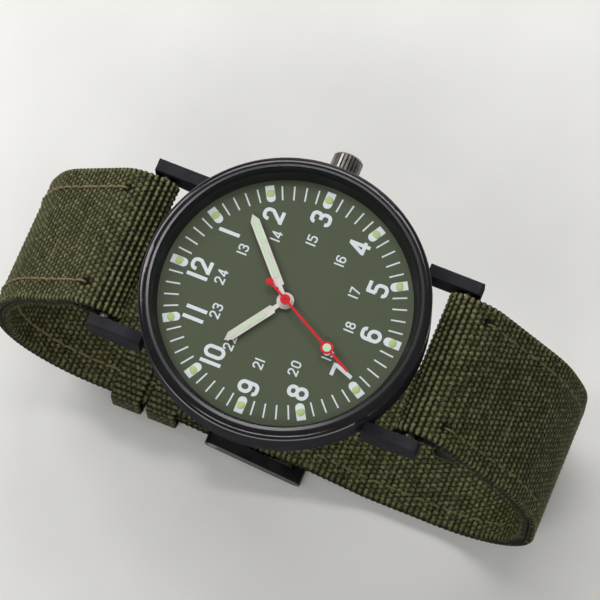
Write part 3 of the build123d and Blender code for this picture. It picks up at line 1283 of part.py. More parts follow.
def buckle_frame():
    """Buckle frame: two bent arms joined by the far bar, notched for the tongue."""
    inner = HALF_STRAP + ARM_GAP
    pin_end = Pos(PIN_PLACE, FLOOR_STRETCH_HEIGHT) * Circle(ARM_PIN_END)
    bar_end = Pos(FAR_BAR_PLACE, down(FAR_BAR_DROP)) * Circle(FAR_BAR_RADIUS)
    outline = make_hull(pin_end.edges() + bar_end.edges())
    arm = Pos(inner, 0, 0) * extrude(Plane.YZ * outline, ARM_WIDTH, dir=(1, 0, 0))
    frame = rod(FAR_BAR_RADIUS, -inner, inner, FAR_BAR_PLACE, down(FAR_BAR_DROP))
    frame += [arm, mirror(arm, Plane.YZ)]
    outer = inner + ARM_WIDTH + OVERRUN
    frame -= rod(PIN_RADIUS + SEAT_GAP, -outer, outer, PIN_PLACE, FLOOR_STRETCH_HEIGHT)
    notch_x = (-TONGUE_RADIUS - SOFT_GAP, TONGUE_RADIUS + SOFT_GAP)
    notch_y = (FAR_BAR_PLACE - FAR_BAR_RADIUS - OVERRUN, FAR_BAR_PLACE + FAR_BAR_RADIUS + OVERRUN)
    notch_top = down(TONGUE_DROP) + TONGUE_RADIUS + TONGUE_NOTCH_GAP
    return frame - block(notch_x, notch_y, (down(TONGUE_DROP) - 2 * FAR_BAR_RADIUS, notch_top))


def buckle_bar():
    """Pin through the strap's fold and both arms."""
    reach = HALF_STRAP + ARM_GAP + ARM_WIDTH
    return rod(PIN_RADIUS, -reach, reach, PIN_PLACE, FLOOR_STRETCH_HEIGHT)


def buckle_tongue():
    """Bent tongue: a ring on the pin and a rod through the hole to the far bar."""
    half_ring = TONGUE_RING_WIDTH / 2
    tongue = rod(TONGUE_RING_RADIUS, -half_ring, half_ring, PIN_PLACE, FLOOR_STRETCH_HEIGHT)
    tip = FAR_BAR_PLACE - TONGUE_OVERHANG
    corners = [
        (TONGUE_ROOT_PLACE, FLOOR_STRETCH_HEIGHT),
        (TONGUE_BEND_PLACE, down(TONGUE_BEND_DROP)),
        (TONGUE_KNEE_PLACE, down(TONGUE_DROP)),
        (tip, down(TONGUE_DROP)),
    ]
    path = Plane.YZ * rounded_line(corners, [TONGUE_BEND_RADIUS, TONGUE_BEND_RADIUS])
    section = Plane(path @ 0, z_dir=path % 0) * Circle(TONGUE_RADIUS)
    tongue += sweep(section, path=path)
    tongue += Pos(0, tip, down(TONGUE_DROP)) * Sphere(TONGUE_RADIUS)
    return tongue - rod(PIN_RADIUS + RUNNING_GAP, -STRAP_WIDTH, STRAP_WIDTH, PIN_PLACE, FLOOR_STRETCH_HEIGHT)


def keeper(start):
    """Rounded loop round both layers of the strap."""
    half_width = HALF_STRAP + SOFT_GAP
    top = FLOOR_STRETCH_HEIGHT + HALF_BAND + SOFT_GAP
    bottom = down(TAIL_LAY_DROP + HALF_BAND + SOFT_GAP)
    centre = Pos(0, (top + bottom) / 2)
    width, height = 2 * half_width, top - bottom
    outer = RectangleRounded(width + 2 * KEEPER_WALL, height + 2 * KEEPER_WALL, KEEPER_ROUNDING + KEEPER_WALL)
    inner = RectangleRounded(width, height, KEEPER_ROUNDING)
    face = Plane.XZ * (centre * (outer - inner))
    return Pos(0, start, 0) * extrude(face, -KEEPER_LENGTH)


def main():
    """Build every piece and write one file for each node."""
    os.makedirs("parts", exist_ok=True)
    plain = [
        case_middle, bezel, crystal, crystal_gasket, rehaut_ring, dial, hour_markers, marker_lume,
        minute_track, hour_numerals, inner_numerals, second_hand, second_hand_lume, main_plate,
        train_bridge, bridge_screws, fourth_wheel, third_wheel, centre_wheel, minute_wheel,
        hour_wheel, intermediate_wheel, rotor, stator, drive_coil, battery_cell, battery_clamp,
        circuit_board, timing_crystal, setting_lever, stem, crown, crown_tube, crown_gasket,
        movement_holder, case_back, case_back_gasket, strap_buckle_half, strap_tail_half,
        buckle_frame, buckle_bar, buckle_tongue,
    ]
    for make in plain:
        save(make(), make.__name__)
    hour_sizes = (HOUR_HAND_TIP, HOUR_HAND_WIDTH, HOUR_HAND_BODY_START)
    minute_sizes = (MINUTE_HAND_TIP, MINUTE_HAND_WIDTH, MINUTE_HAND_BODY_START)
    hour_place = (HOUR_HAND_BOTTOM, HOUR_HAND_ANGLE)
    minute_place = (MINUTE_HAND_BOTTOM, MINUTE_HAND_ANGLE)
    save(broad_hand(*hour_sizes, HOUR_HUB_RADIUS, HOUR_TUBE_RADIUS, *hour_place), "hour_hand")
    save(broad_hand(*minute_sizes, MINUTE_HUB_RADIUS, CENTRE_TUBE_RADIUS, *minute_place), "minute_hand")
    save(broad_lume(*hour_sizes, *hour_place), "hour_hand_lume")
    save(broad_lume(*minute_sizes, *minute_place), "minute_hand_lume")
    for name, side in (("12", 1), ("6", -1)):
        save(spring_bar_tube(side), f"spring_bar_tube_{name}")
        save(spring_bar_spring(side), f"spring_bar_spring_{name}")
        for end_name, end in (("crown_side", 1), ("far_side", -1)):
            save(spring_bar_tip(side, end), f"spring_bar_tip_{name}_{end_name}")
    save(keeper(FIXED_KEEPER_START), "fixed_keeper")
    save(keeper(FREE_KEEPER_START), "free_keeper")


main()
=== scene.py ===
"""A field watch on a woven two-layer strap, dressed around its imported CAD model.

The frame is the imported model's own, in metres: the crystal's top centre is the
origin, 12 o'clock lies along +Y, the crown along +X, and the dial faces +Z. Sizes
in the classes are millimetres above the dial's face, as a watchmaker gives them.
"""

import logging
import math
from collections.abc import Callable, Sequence
from dataclasses import dataclass, field
from enum import Enum
from functools import partial

import bmesh
import bpy
import numpy as np
from mathutils import Matrix, Vector


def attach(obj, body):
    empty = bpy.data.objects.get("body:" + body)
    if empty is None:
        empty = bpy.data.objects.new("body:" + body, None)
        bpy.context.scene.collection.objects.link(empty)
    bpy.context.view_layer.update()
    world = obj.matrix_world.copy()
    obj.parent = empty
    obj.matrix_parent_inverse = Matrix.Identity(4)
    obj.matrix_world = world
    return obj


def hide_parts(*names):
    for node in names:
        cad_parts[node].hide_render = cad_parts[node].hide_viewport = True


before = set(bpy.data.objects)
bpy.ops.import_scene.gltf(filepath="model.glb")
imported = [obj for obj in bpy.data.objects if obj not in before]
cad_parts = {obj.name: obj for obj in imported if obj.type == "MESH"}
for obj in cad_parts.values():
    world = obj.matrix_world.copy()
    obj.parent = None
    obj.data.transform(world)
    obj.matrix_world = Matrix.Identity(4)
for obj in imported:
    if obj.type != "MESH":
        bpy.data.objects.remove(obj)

LOG = logging.getLogger("field_watch")
MM = 0.001
DIAL_DROP = 3.05
HOURS = 12
TURN = 2 * math.pi

Points = np.ndarray
Shape = tuple[Points, list]
Pair = tuple[float, float]
Piece = bpy.types.Object
Material = bpy.types.Material
Socket = bpy.types.NodeSocket


def paint(code: str) -> tuple[float, float, float, float]:
    """Turns a colour as it looks on a screen into the shader's linear values.

    Args:
        code: Six hexadecimal digits after a hash sign.

    Returns:
        Red, green, blue and a full alpha, each from 0 to 1.
    """
    channels = [int(code[place : place + 2], 16) / 255 for place in (1, 3, 5)]
    linear = [c / 12.92 if c <= 0.04045 else ((c + 0.055) / 1.055) ** 2.4 for c in channels]
    return (linear[0], linear[1], linear[2], 1.0)


def smooth_step(low: float, high: float, value: Points) -> Points:
    """Rises smoothly from 0 at low to 1 at high."""
    share = np.clip((value - low) / (high - low), 0, 1)
    return share * share * (3 - 2 * share)


# Finishes


class Mixer:
    """Node tree of one material, with short calls that add and join its nodes."""

    def __init__(self, name: str) -> None:
        """Starts an empty material.

        Args:
            name: The material's name.
        """
        self.material = bpy.data.materials.new(name)
        self.material.use_nodes = True
        self.tree = self.material.node_tree
        self.tree.nodes.clear()
        self.output = self.add("OutputMaterial")
        self.place: Socket = self.add("TexCoord").outputs["Object"]

    def put(self, socket: Socket, value: object) -> None:
        """Joins an input to another node's socket, or sets it to a constant."""
        if isinstance(value, Socket):
            self.tree.links.new(value, socket)
        else:
            socket.default_value = value

    def add(self, kind: str, sockets: dict | None = None, **settings: object) -> bpy.types.Node:
        """Adds a node.

        Args:
            kind: The node's type, without its first part.
            sockets: Inputs by name or number, each a constant or a socket to join.
            **settings: Properties of the node itself.

        Returns:
            The new node.
        """
        node = self.tree.nodes.new(f"ShaderNode{kind}")
        for key, value in settings.items():
            setattr(node, key, value)
        for key, value in (sockets or {}).items():
            self.put(node.inputs[key], value)
        return node

    def noise(self, scale: float, detail: float = 2.0, place: Socket | None = None) -> Socket:
        """Cloudy pattern with finer layers, by repeats to a metre or to a unit of the place."""
        sockets = {"Vector": place or self.place, "Scale": scale, "Detail": detail}
        return self.add("TexNoise", sockets).outputs["Fac"]

    def stretched(self, scale: tuple[float, float, float], place: Socket | None = None) -> Socket:
        """Place read with each axis scaled on its own."""
        sockets = {"Vector": place or self.place, "Scale": scale}
        return self.add("Mapping", sockets).outputs["Vector"]

    def around(self) -> Socket:
        """Distance from the watch's middle axis, in metres."""
        flat = self.stretched((1, 1, 0))
        return self.add("VectorMath", {0: flat}, operation="LENGTH").outputs["Value"]

    def height(self) -> Socket:
        """Height above the crystal's top, in metres."""
        return self.add("SeparateXYZ", {"Vector": self.place}).outputs["Z"]

    def stored(self, name: str, output: str = "Fac") -> Socket:
        """Value stored for every point of the mesh."""
        return self.add("Attribute", None, attribute_name=name).outputs[output]

    def reckon(self, operation: str, *values: Socket | float) -> Socket:
        """Result of one step of arithmetic."""
        return self.add("Math", dict(enumerate(values)), operation=operation).outputs["Value"]

    def blend(
        self, share: Socket | float, first: Socket | tuple, second: Socket | tuple, way: str = "MIX"
    ) -> Socket:
        """Mixes two colours.

        Args:
            share: How much of the mixed colour is taken, from 0 to 1.
            first: Colour at a share of 0.
            second: Colour that is mixed in.
            way: How it is mixed in.

        Returns:
            The mixed colour.
        """
        node = self.add("Mix", None, data_type="RGBA", blend_type=way)
        inputs = [socket for socket in node.inputs if socket.enabled]
        for socket, value in zip(inputs, (share, first, second)):
            self.put(socket, value)
        return next(socket for socket in node.outputs if socket.enabled)

    def ramp(self, share: Socket, *stops: tuple[float, str]) -> Socket:
        """Reads a colour from stops.

        Args:
            share: Where the colour is read, from 0 to 1.
            *stops: Each stop's place and colour.

        Returns:
            The colour.
        """
        node = self.add("ValToRGB", {"Fac": share})
        marks = node.color_ramp.elements
        marks.remove(marks[-1])
        marks[0].position, marks[0].color = stops[0][0], paint(stops[0][1])
        for position, code in stops[1:]:
            marks.new(position).color = paint(code)
        return node.outputs["Color"]

    def span(
        self, value: Socket, low: float, high: float, start: float = 0.0, end: float = 1.0
    ) -> Socket:
        """Goes from low to high while the value goes from start to end."""
        sockets = {"From Min": start, "From Max": end, "To Min": low, "To Max": high}
        return self.add("MapRange", {"Value": value, **sockets}).outputs["Result"]

    def bump(self, height: Socket, depth: float, strength: float = 1.0) -> Socket:
        """Normal tilted by a height, of which 1 stands for the depth in metres."""
        sockets = {"Height": height, "Distance": depth, "Strength": strength}
        return self.add("Bump", sockets).outputs["Normal"]

    def finish(self, sockets: dict) -> Material:
        """Ends the tree in one plain surface and returns the material."""
        surface = self.add("BsdfPrincipled", sockets).outputs["BSDF"]
        self.put(self.output.inputs["Surface"], surface)
        return self.material


class Marks(Enum):
    """Kinds of fine marks on a surface."""

    CLOUDS = "clouds"
    RINGS = "rings round the middle axis"
    STREAKS = "streaks along X"
    WIRES = "wires side by side"
    CELLS = "cells"


@dataclass(frozen=True)
class Pattern:
    """A pattern of marks, with its scale in repeats to a metre."""

    scale: float
    detail: float = 2.0
    kind: Marks = Marks.CLOUDS
    streak_scale: float = 500.0

    def read(self, mixer: Mixer) -> Socket:
        """Adds the pattern's nodes.

        Args:
            mixer: The tree of the material.

        Returns:
            The pattern's value, from 0 to 1.
        """
        sockets = {"Vector": mixer.place, "Scale": self.scale}
        if self.kind is Marks.CELLS:
            sockets["Randomness"] = 0.7
            node = mixer.add("TexVoronoi", sockets, feature="DISTANCE_TO_EDGE")
            return node.outputs["Distance"]
        if self.kind is Marks.WIRES:
            sockets["Distortion"] = 0.4
            return mixer.add("TexWave", sockets, bands_direction="X").outputs["Fac"]
        if self.kind is Marks.RINGS:
            sockets = {"W": mixer.around(), "Scale": self.scale, "Detail": self.detail}
            return mixer.add("TexNoise", sockets, noise_dimensions="1D").outputs["Fac"]
        if self.kind is Marks.STREAKS:
            place = mixer.stretched((self.streak_scale, self.scale, self.scale))
            return mixer.noise(1.0, self.detail, place)
        return mixer.noise(self.scale, self.detail)


BLASTED = Pattern(12000.0)
POLISHED = Pattern(1500.0)
TURNED = Pattern(14000.0, 3.0, Marks.RINGS)
BRUSHED = Pattern(16000.0, 3.0, Marks.STREAKS)


@dataclass(frozen=True)
class Finish:
    """A named surface, made once and shared by the pieces that have it.

    Its height follows the marks. Its colour goes from the low to the high one with the
    tint, and its roughness with the wear, which are the marks where none are given.
    """

    name: str
    low: str
    high: str
    roughness: Pair
    marks: Pattern = BLASTED
    depth: float = 2.0e-6
    tint: Pattern | None = None
    wear: Pattern | None = None
    stops: Pair = (0.3, 0.7)
    metallic: float = 0.0
    gloss: float = 0.5
    softness: float = 0.0
    soft_reach: tuple[float, float, float] = (0.0003, 0.0003, 0.0002)

    def give(self, piece: Piece) -> None:
        """Gives a piece this finish and no other."""
        piece.data.materials.clear()
        piece.data.materials.append(bpy.data.materials.get(self.name) or self.mix())

    def mix(self) -> Material:
        """Builds the nodes of the finish.

        Returns:
            The material.
        """
        mixer = Mixer(self.name)
        marks = self.marks.read(mixer)
        tint = self.tint.read(mixer) if self.tint else marks
        wear = self.wear.read(mixer) if self.wear else marks
        sockets = {
            "Base Color": mixer.ramp(tint, *zip(self.stops, (self.low, self.high))),
            "Metallic": self.metallic,
            "Specular IOR Level": self.gloss,
            "Roughness": mixer.span(wear, *self.roughness),
            "Subsurface Weight": self.softness,
            "Subsurface Radius": self.soft_reach,
            "Normal": mixer.bump(marks, self.depth),
        }
        return mixer.finish(sockets)


@dataclass(frozen=True)
class CoatedSteel(Finish):
    """Steel under a thin dark coating, with rubbed patches and a fine blasted grain."""

    marks: Pattern = Pattern(9000.0, 1.0)
    tint: Pattern | None = Pattern(420.0, 4.0)
    wear: Pattern | None = Pattern(900.0, 3.0)
    stops: Pair = (0.35, 0.75)


@dataclass(frozen=True)
class Metal(Finish):
    """Bare metal with the marks of how it was worked."""

    depth: float = 3.0e-6
    tint: Pattern | None = Pattern(700.0, 3.0)
    metallic: float = 1.0


@dataclass(frozen=True)
class Lacquer(Finish):
    """Matt or glossy paint, ink or moulded plastic with a fine speckle."""

    marks: Pattern = Pattern(15000.0)
    wear: Pattern | None = Pattern(1800.0)
    stops: Pair = (0.4, 0.62)
    gloss: float = 0.25


@dataclass(frozen=True)
class Lume(Finish):
    """Thick luminous paint with a grainy top."""

    roughness: Pair = (0.5, 0.75)
    marks: Pattern = Pattern(6500.0, 3.0)
    depth: float = 2.5e-5
    stops: Pair = (0.3, 0.6)
    softness: float = 0.15


@dataclass(frozen=True)
class Thread(Finish):
    """Twisted sewing thread."""

    roughness: Pair = (0.55, 0.8)
    marks: Pattern = Pattern(5200.0, 3.0)
    depth: float = 4.0e-5
    stops: Pair = (0.35, 0.62)


@dataclass(frozen=True)
class Glass(Finish):
    """Clear mineral glass with a ground chamfer, of the high colour, round its top."""

    low: str = "#fcfdfc"
    high: str = "#93aeac"
    roughness: Pair = (0.04, 0.4)
    shade: str = "#f4f6f4"
    chamfer_start: float = 18.5
    chamfer_end: float = 18.54
    chamfer_foot: float = -0.22
    foot_blur: float = 0.005
    mirror_index: float = 1.2
    chamfer_mirror: float = 0.1

    def mix(self) -> Material:
        """Builds the nodes of the glass.

        Returns:
            The material.
        """
        mixer = Mixer(self.name)
        start, end = self.chamfer_start * MM, self.chamfer_end * MM
        foot = [(self.chamfer_foot + blur) * MM for blur in (-self.foot_blur, self.foot_blur)]
        outer = mixer.span(mixer.around(), 0.0, 1.0, start, end)
        ground = mixer.reckon("MULTIPLY", outer, mixer.span(mixer.height(), 0.0, 1.0, *foot))
        clear = mixer.blend(ground, paint(self.low), paint(self.high))
        through = mixer.add("BsdfTransparent", {"Color": clear}).outputs["BSDF"]
        blur = mixer.span(ground, *self.roughness)
        gleam = {"Color": paint("#ffffff"), "Roughness": blur}
        sheen = mixer.add("BsdfAnisotropic", gleam).outputs["BSDF"]
        mirror = mixer.add("Fresnel", {"IOR": self.mirror_index}).outputs["Fac"]
        share = mixer.reckon("ADD", mirror, mixer.span(ground, 0.0, self.chamfer_mirror))
        seen = mixer.add("MixShader", {0: share, 1: through, 2: sheen}).outputs["Shader"]
        shadow = mixer.add("LightPath").outputs["Is Shadow Ray"]
        lit = mixer.add("BsdfTransparent", {"Color": paint(self.shade)}).outputs["BSDF"]
        whole = mixer.add("MixShader", {0: shadow, 1: seen, 2: lit}).outputs["Shader"]
        mixer.put(mixer.output.inputs["Surface"], whole)
        return mixer.material


@dataclass(frozen=True)
class Woven(Finish):
    """Nylon yarn whose colour follows the weave's height: painted shade between the beads, a
    painted highlight on their tops.
    """

    # low is painted shade in the grooves, high a painted highlight on the bead tops, body the
    # yarn's own olive between them.
    low: str = "#0e0d07"
    high: str = "#757352"
    roughness: Pair = (0.5, 0.78)
    depth: float = 9.0e-5
    gloss: float = 0.1
    body: str = "#3d3e25"
    fleck: str = "#6b5d48"
    strands: tuple[float, float, float] = (7.0, 2.8, 0.0)
    strand_contrast: float = 2.2
    strand_relief: float = 0.8

    def mix(self) -> Material:
        """Builds the nodes of the yarn.

        Returns:
            The material.
        """
        mixer = Mixer(self.name)
        tone = mixer.stored("tone")
        cloth = mixer.stretched(self.strands, mixer.stored("cloth", "Vector"))
        fibres = mixer.noise(1.0, 3, cloth)
        shift = mixer.reckon("SUBTRACT", fibres, 0.5)
        # The colour is read off the stored height: grooves take painted shade, bead tops a painted
        # highlight.
        painted_light_relief = mixer.stored("painted_light_relief")
        rise = mixer.reckon("MULTIPLY_ADD", shift, self.strand_contrast, painted_light_relief)
        yarn = mixer.ramp(rise, (0.16, self.low), (0.46, self.body), (1.0, self.high))
        worn = mixer.ramp(tone, (0.0, "#c8c8bc"), (0.5, "#e6e6de"), (1.0, "#ffffff"))
        shaded = mixer.blend(1.0, yarn, worn, "MULTIPLY")
        flecked = mixer.span(tone, 0.0, 0.3, 0.985, 0.99)
        sockets = {
            "Base Color": mixer.blend(flecked, shaded, paint(self.fleck)),
            "Roughness": mixer.span(fibres, *self.roughness),
            "Specular IOR Level": self.gloss,
            "Normal": mixer.bump(fibres, self.depth, self.strand_relief),
        }
        return mixer.finish(sockets)


BLACK_CASE = CoatedSteel(
    "black_coated_case", "#29292d", "#333337", (0.38, 0.52), metallic=0.08, gloss=0.0
)
BLACK_BEZEL = CoatedSteel("black_coated_bezel", "#3a373a", "#444144", (0.12, 0.18), metallic=1.0)
BLACK_BUCKLE = CoatedSteel("black_coated_buckle", "#151517", "#2a2a2c", (0.26, 0.4), metallic=0.6)
FLANGE_BLACK = Lacquer("flange_black", "#0c0d0d", "#141515", (0.42, 0.55))
CLEAR_GLASS = Glass("clear_glass")
RUBBER = Lacquer("black_rubber", "#0b0b0c", "#151516", (0.6, 0.75), Pattern(5000.0), 6.0e-6)
DIAL_GREEN = Lacquer("dial_green", "#4b503f", "#525745", (0.62, 0.75), Pattern(16000.0), 3.0e-6)
PRINT_WHITE = Lacquer("print_white", "#d9dae4", "#e1e2ea", (0.55, 0.7), Pattern(9000.0), 4.0e-6)
PLOT_LUME = Lume("plot_lume", "#a2b670", "#b9cb8c")
HAND_LUME = Lume("hand_lume", "#bdd0b1", "#cddbc4")
ARBOR_STEEL = Metal("arbor_steel", "#3f3a36", "#5d564f", (0.4, 0.55), TURNED)
HAND_STEEL = Metal(
    "hand_steel", "#d1c8c6", "#e0d7d5", (0.38, 0.48), POLISHED, 4.5e-7, metallic=0.35
)
HAND_RED = Lacquer("hand_red", "#d30a22", "#dc1029", (0.4, 0.5), Pattern(4000.0), 1.5e-6)
SATIN_STEEL = Metal("satin_steel", "#8a8884", "#bdbab5", (0.22, 0.38))
CROWN_STEEL = Metal("fluted_steel", "#5f5b57", "#8a8580", (0.26, 0.36), depth=2.0e-6)
TURNED_STEEL = Metal("turned_steel", "#93918e", "#b9b7b3", (0.24, 0.4), TURNED)
BRUSHED_STEEL = Metal("brushed_steel", "#8c8a87", "#b6b4b0", (0.26, 0.42), BRUSHED)
PLATE_NICKEL = Metal("plate_nickel", "#8e877c", "#b5ada0", (0.28, 0.45), BRUSHED)
WHEEL_BRASS = Metal("gear_brass", "#94722f", "#c9a45a", (0.24, 0.4), TURNED)
WHEEL_PLASTIC = Lacquer("gear_nylon", "#cfc9bb", "#dad5c8", (0.4, 0.5))
ROTOR_GREY = Lacquer("rotor_grey", "#3c3a3a", "#4a4847", (0.35, 0.5))
STATOR_IRON = Metal("stator_iron", "#716e6b", "#9a9693", (0.3, 0.5))
COIL_COPPER = Finish(
    "coil_copper", "#6d3a17", "#c07a3c", (0.25, 0.45), Pattern(5200.0, kind=Marks.WIRES), 1.5e-5,
    stops=(0.1, 0.8), metallic=0.8,
)
BOARD_GREEN = Finish(
    "board_green", "#3c7a45", "#17462c", (0.3, 0.45), Pattern(1100.0, kind=Marks.CELLS), 1.0e-5,
    wear=Pattern(3000.0), stops=(0.06, 0.09),
)
HOLDER_PLASTIC = Lacquer("holder_plastic", "#c9c6bd", "#d6d3cb", (0.45, 0.6), Pattern(5000.0))
# Both yarns paint shade into the grooves and a highlight onto the bead tops with their low and high
# colours.
STRAP_YARN = Woven("strap_yarn")
LOOP_YARN = Woven("loop_yarn", "#100f08", "#716e52", body="#3a3c24")
SEAM_THREAD = Thread("seam_thread", "#4c4326", "#7d6a45")
SEAM_THREAD_GREEN = Thread("seam_thread_green", "#3e3f1e", "#666536")
MELTED_EDGE = Lacquer("melted_edge", "#20230f", "#2c3016", (0.35, 0.6), Pattern(4000.0), 2.0e-5)


# Making pieces


def new_piece(name: str, points: Points, faces: Sequence, smooth: bool = True) -> Piece:
    """Makes a mesh object with its faces turned outward.

    Args:
        name: The piece's name.
        points: Corners in millimetres above the dial's face.
        faces: Corner numbers of each face.
        smooth: Whether the faces shade as one smooth surface.

    Returns:
        The object, linked to the scene.
    """
    mesh = bpy.data.meshes.new(name)
    corners = (np.asarray(points, float) - (0.0, 0.0, DIAL_DROP)) * MM
    mesh.from_pydata(corners.tolist(), [], faces)
    work = bmesh.new()
    work.from_mesh(mesh)
    bmesh.ops.recalc_face_normals(work, faces=work.faces[:])
    work.to_mesh(mesh)
    work.free()
    mesh.polygons.foreach_set("use_smooth", np.full(len(mesh.polygons), smooth))
    piece = bpy.data.objects.new(name, mesh)
    bpy.context.scene.collection.objects.link(piece)
    return piece


def place_piece(
    piece: Piece, body: str, finish: Finish, replaced: Sequence[str] = ()
) -> None:
    """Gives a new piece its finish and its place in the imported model.

    Args:
        piece: The piece.
        body: The body it rides on.
        finish: Its finish.
        replaced: The CAD nodes it stands for.
    """
    finish.give(piece)
    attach(piece, body)
    if replaced:
        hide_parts(*replaced)
    LOG.info("%s: %d faces on %s", piece.name, len(piece.data.polygons), body)


def dress(finish: Finish, *nodes: str) -> None:
    """Gives CAD nodes their finish."""
    for node in nodes:
        finish.give(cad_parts[node])
        LOG.info("%s: %s", node, finish.name)


def grid_faces(rows: int, columns: int, closed: bool = True) -> list:
    """Faces of a grid whose columns close on themselves.

    Args:
        rows: Number of stations.
        columns: Points to a station.
        closed: Whether the last station joins the first. Open ends are capped.

    Returns:
        Corner numbers of each face.
    """
    row = np.arange(rows if closed else rows - 1)[:, None]
    column = np.arange(columns)[None, :]
    after_row, after_column = (row + 1) % rows, (column + 1) % columns
    corners = [
        row * columns + column,
        after_row * columns + column,
        after_row * columns + after_column,
        row * columns + after_column,
    ]
    faces = np.stack(corners, axis=-1).reshape(-1, 4).tolist()
    if not closed:
        last = columns * (rows - 1)
        faces += [list(range(columns)), list(range(last, last + columns))]
    return faces


def rounded_line(corners: Sequence, radii: Sequence[float], step: float = 0.1) -> Points:
    """Samples a run of straight lines whose inner corners are rounded.

    Args:
        corners: Places the lines run through, as pairs.
        radii: Rounding of each inner corner.
        step: Longest distance between samples.

    Returns:
        The samples, one row to each.
    """
    places = [np.array(corner, float) for corner in corners]
    samples = [places[0]]

    def run_to(end: Points) -> None:
        """Adds a straight run up to a place."""
        count = max(int(np.linalg.norm(end - samples[-1]) / step), 1)
        start = samples[-1]
        samples.extend(start + (end - start) * share / count for share in range(1, count + 1))

    for before, corner, after, radius in zip(places, places[1:], places[2:], radii):
        inward = (corner - before) / np.linalg.norm(corner - before)
        onward = (after - corner) / np.linalg.norm(after - corner)
        turn = math.atan2(inward[0] * onward[1] - inward[1] * onward[0], float(inward @ onward))
        run_to(corner - inward * radius * math.tan(abs(turn) / 2))
        side = math.copysign(1.0, turn)
        centre = samples[-1] + side * radius * np.array([-inward[1], inward[0]])
        spoke = samples[-1] - centre
        across = np.array([-spoke[1], spoke[0]])
        count = max(int(abs(turn) * radius / step), 2)
        for angle in turn * np.arange(1, count + 1) / count:
            samples.append(centre + (math.cos(angle) * spoke + math.sin(angle) * across))
    run_to(places[-1])
    return np.array(samples)


def directions(line: Points, closed: bool) -> Points:
    """Unit direction of a line at each of its points."""
    if closed:
        ahead = np.roll(line, -1, axis=0) - np.roll(line, 1, axis=0)
    else:
        ahead = np.gradient(line, axis=0)
    return ahead / np.linalg.norm(ahead, axis=1)[:, None]


def beside(line: Points, offset: float | Points) -> Points:
    """Line at a distance to the left of another."""
    along = directions(line, False)
    left = np.stack([-along[:, 1], along[:, 0]], axis=1)
    return line + left * np.reshape(np.broadcast_to(offset, len(line)), (-1, 1))


def arc(centre: Sequence[float], radius: float, start: float, end: float, count: int) -> Points:
    """Points of an arc, with its angles in degrees."""
    angles = np.radians(np.linspace(start, end, count))
    return np.array(centre) + radius * np.stack([np.cos(angles), np.sin(angles)], axis=1)


def looped(line: Points) -> Points:
    """Line with its first point once more at its end."""
    return np.vstack([line, line[:1]])


def travelled(line: Points, closed: bool = False) -> Points:
    """Distance along a line at each of its points, and back at its start if it is closed."""
    steps = np.linalg.norm(np.diff(looped(line) if closed else line, axis=0), axis=1)
    return np.concatenate([[0.0], np.cumsum(steps)])


def between(at: float | Points, gone: Points, table: Points) -> Points:
    """Reads every column of a table at distances between its rows."""
    return np.stack([np.interp(at, gone, column) for column in table.T], axis=-1)


def evened(line: Points, step: float = 0.12, width: int = 5) -> Points:
    """Sets a closed line out in even steps and softens its corners.

    Args:
        line: The line, one row to a point.
        step: Distance between the new points.
        width: How many points to each side a corner is softened over.

    Returns:
        The new line.
    """
    gone = travelled(line, closed=True)
    even = between(np.arange(0, gone[-1], step), gone, looped(line))
    weights = np.hanning(2 * width + 3)[1:-1]
    weights /= weights.sum()
    return sum(np.roll(even, shift - width, axis=0) * w for shift, w in enumerate(weights))


def tube(line: Points, radius: float, sides: int, closed: bool) -> Shape:
    """Round tube along a line in space.

    Args:
        line: Middle of the tube, one row to a point.
        radius: Its radius.
        sides: Corners round it.
        closed: Whether its end joins its start. Open ends are capped.

    Returns:
        The tube's points and faces.
    """
    ahead = directions(line, closed)
    helper = np.array([1.0, 0.0, 0.0])
    if abs(ahead[:, 0]).max() > 0.95:
        helper = np.array([0.31, 0.17, 0.94])
    side = np.cross(ahead, helper)
    side /= np.linalg.norm(side, axis=1)[:, None]
    rise = np.cross(side, ahead)
    angles = np.arange(sides)[None, :, None] * TURN / sides
    ring = np.cos(angles) * side[:, None] + np.sin(angles) * rise[:, None]
    return (line[:, None] + ring * radius).reshape(-1, 3), grid_faces(len(line), sides, closed)


def prism(ring: Points, reach: Points) -> Shape:
    """Block that stands as far above its outline as below."""
    return np.vstack([ring - reach, ring + reach]), grid_faces(2, len(ring), closed=False)


def gathered(shapes: Sequence[Shape]) -> Shape:
    """Joins several shapes.

    Args:
        shapes: The shapes.

    Returns:
        Their points and faces as one set.
    """
    points, faces, start = [], [], 0
    for shape_points, shape_faces in shapes:
        points.append(shape_points)
        faces.extend([corner + start for corner in face] for face in shape_faces)
        start += len(shape_points)
    return np.vstack(points), faces


def carve(piece: Piece, cutter: Piece) -> None:
    """Cuts one closed mesh out of another for good.

    Args:
        piece: The piece that is cut.
        cutter: The mesh that is cut out of it and then removed.
    """
    cut = piece.modifiers.new("cut", "BOOLEAN")
    cut.operation = "DIFFERENCE"
    cut.object = cutter
    cut.solver = "MANIFOLD"
    bpy.context.view_layer.update()
    shape = piece.evaluated_get(bpy.context.evaluated_depsgraph_get())
    cut_mesh = bpy.data.meshes.new_from_object(shape)
    piece.modifiers.clear()
    if len(cut_mesh.polygons) == 0:
        raise RuntimeError(f"cutting {piece.name} left nothing")
    piece.data = cut_mesh
    bpy.data.objects.remove(cutter)


# Webbing


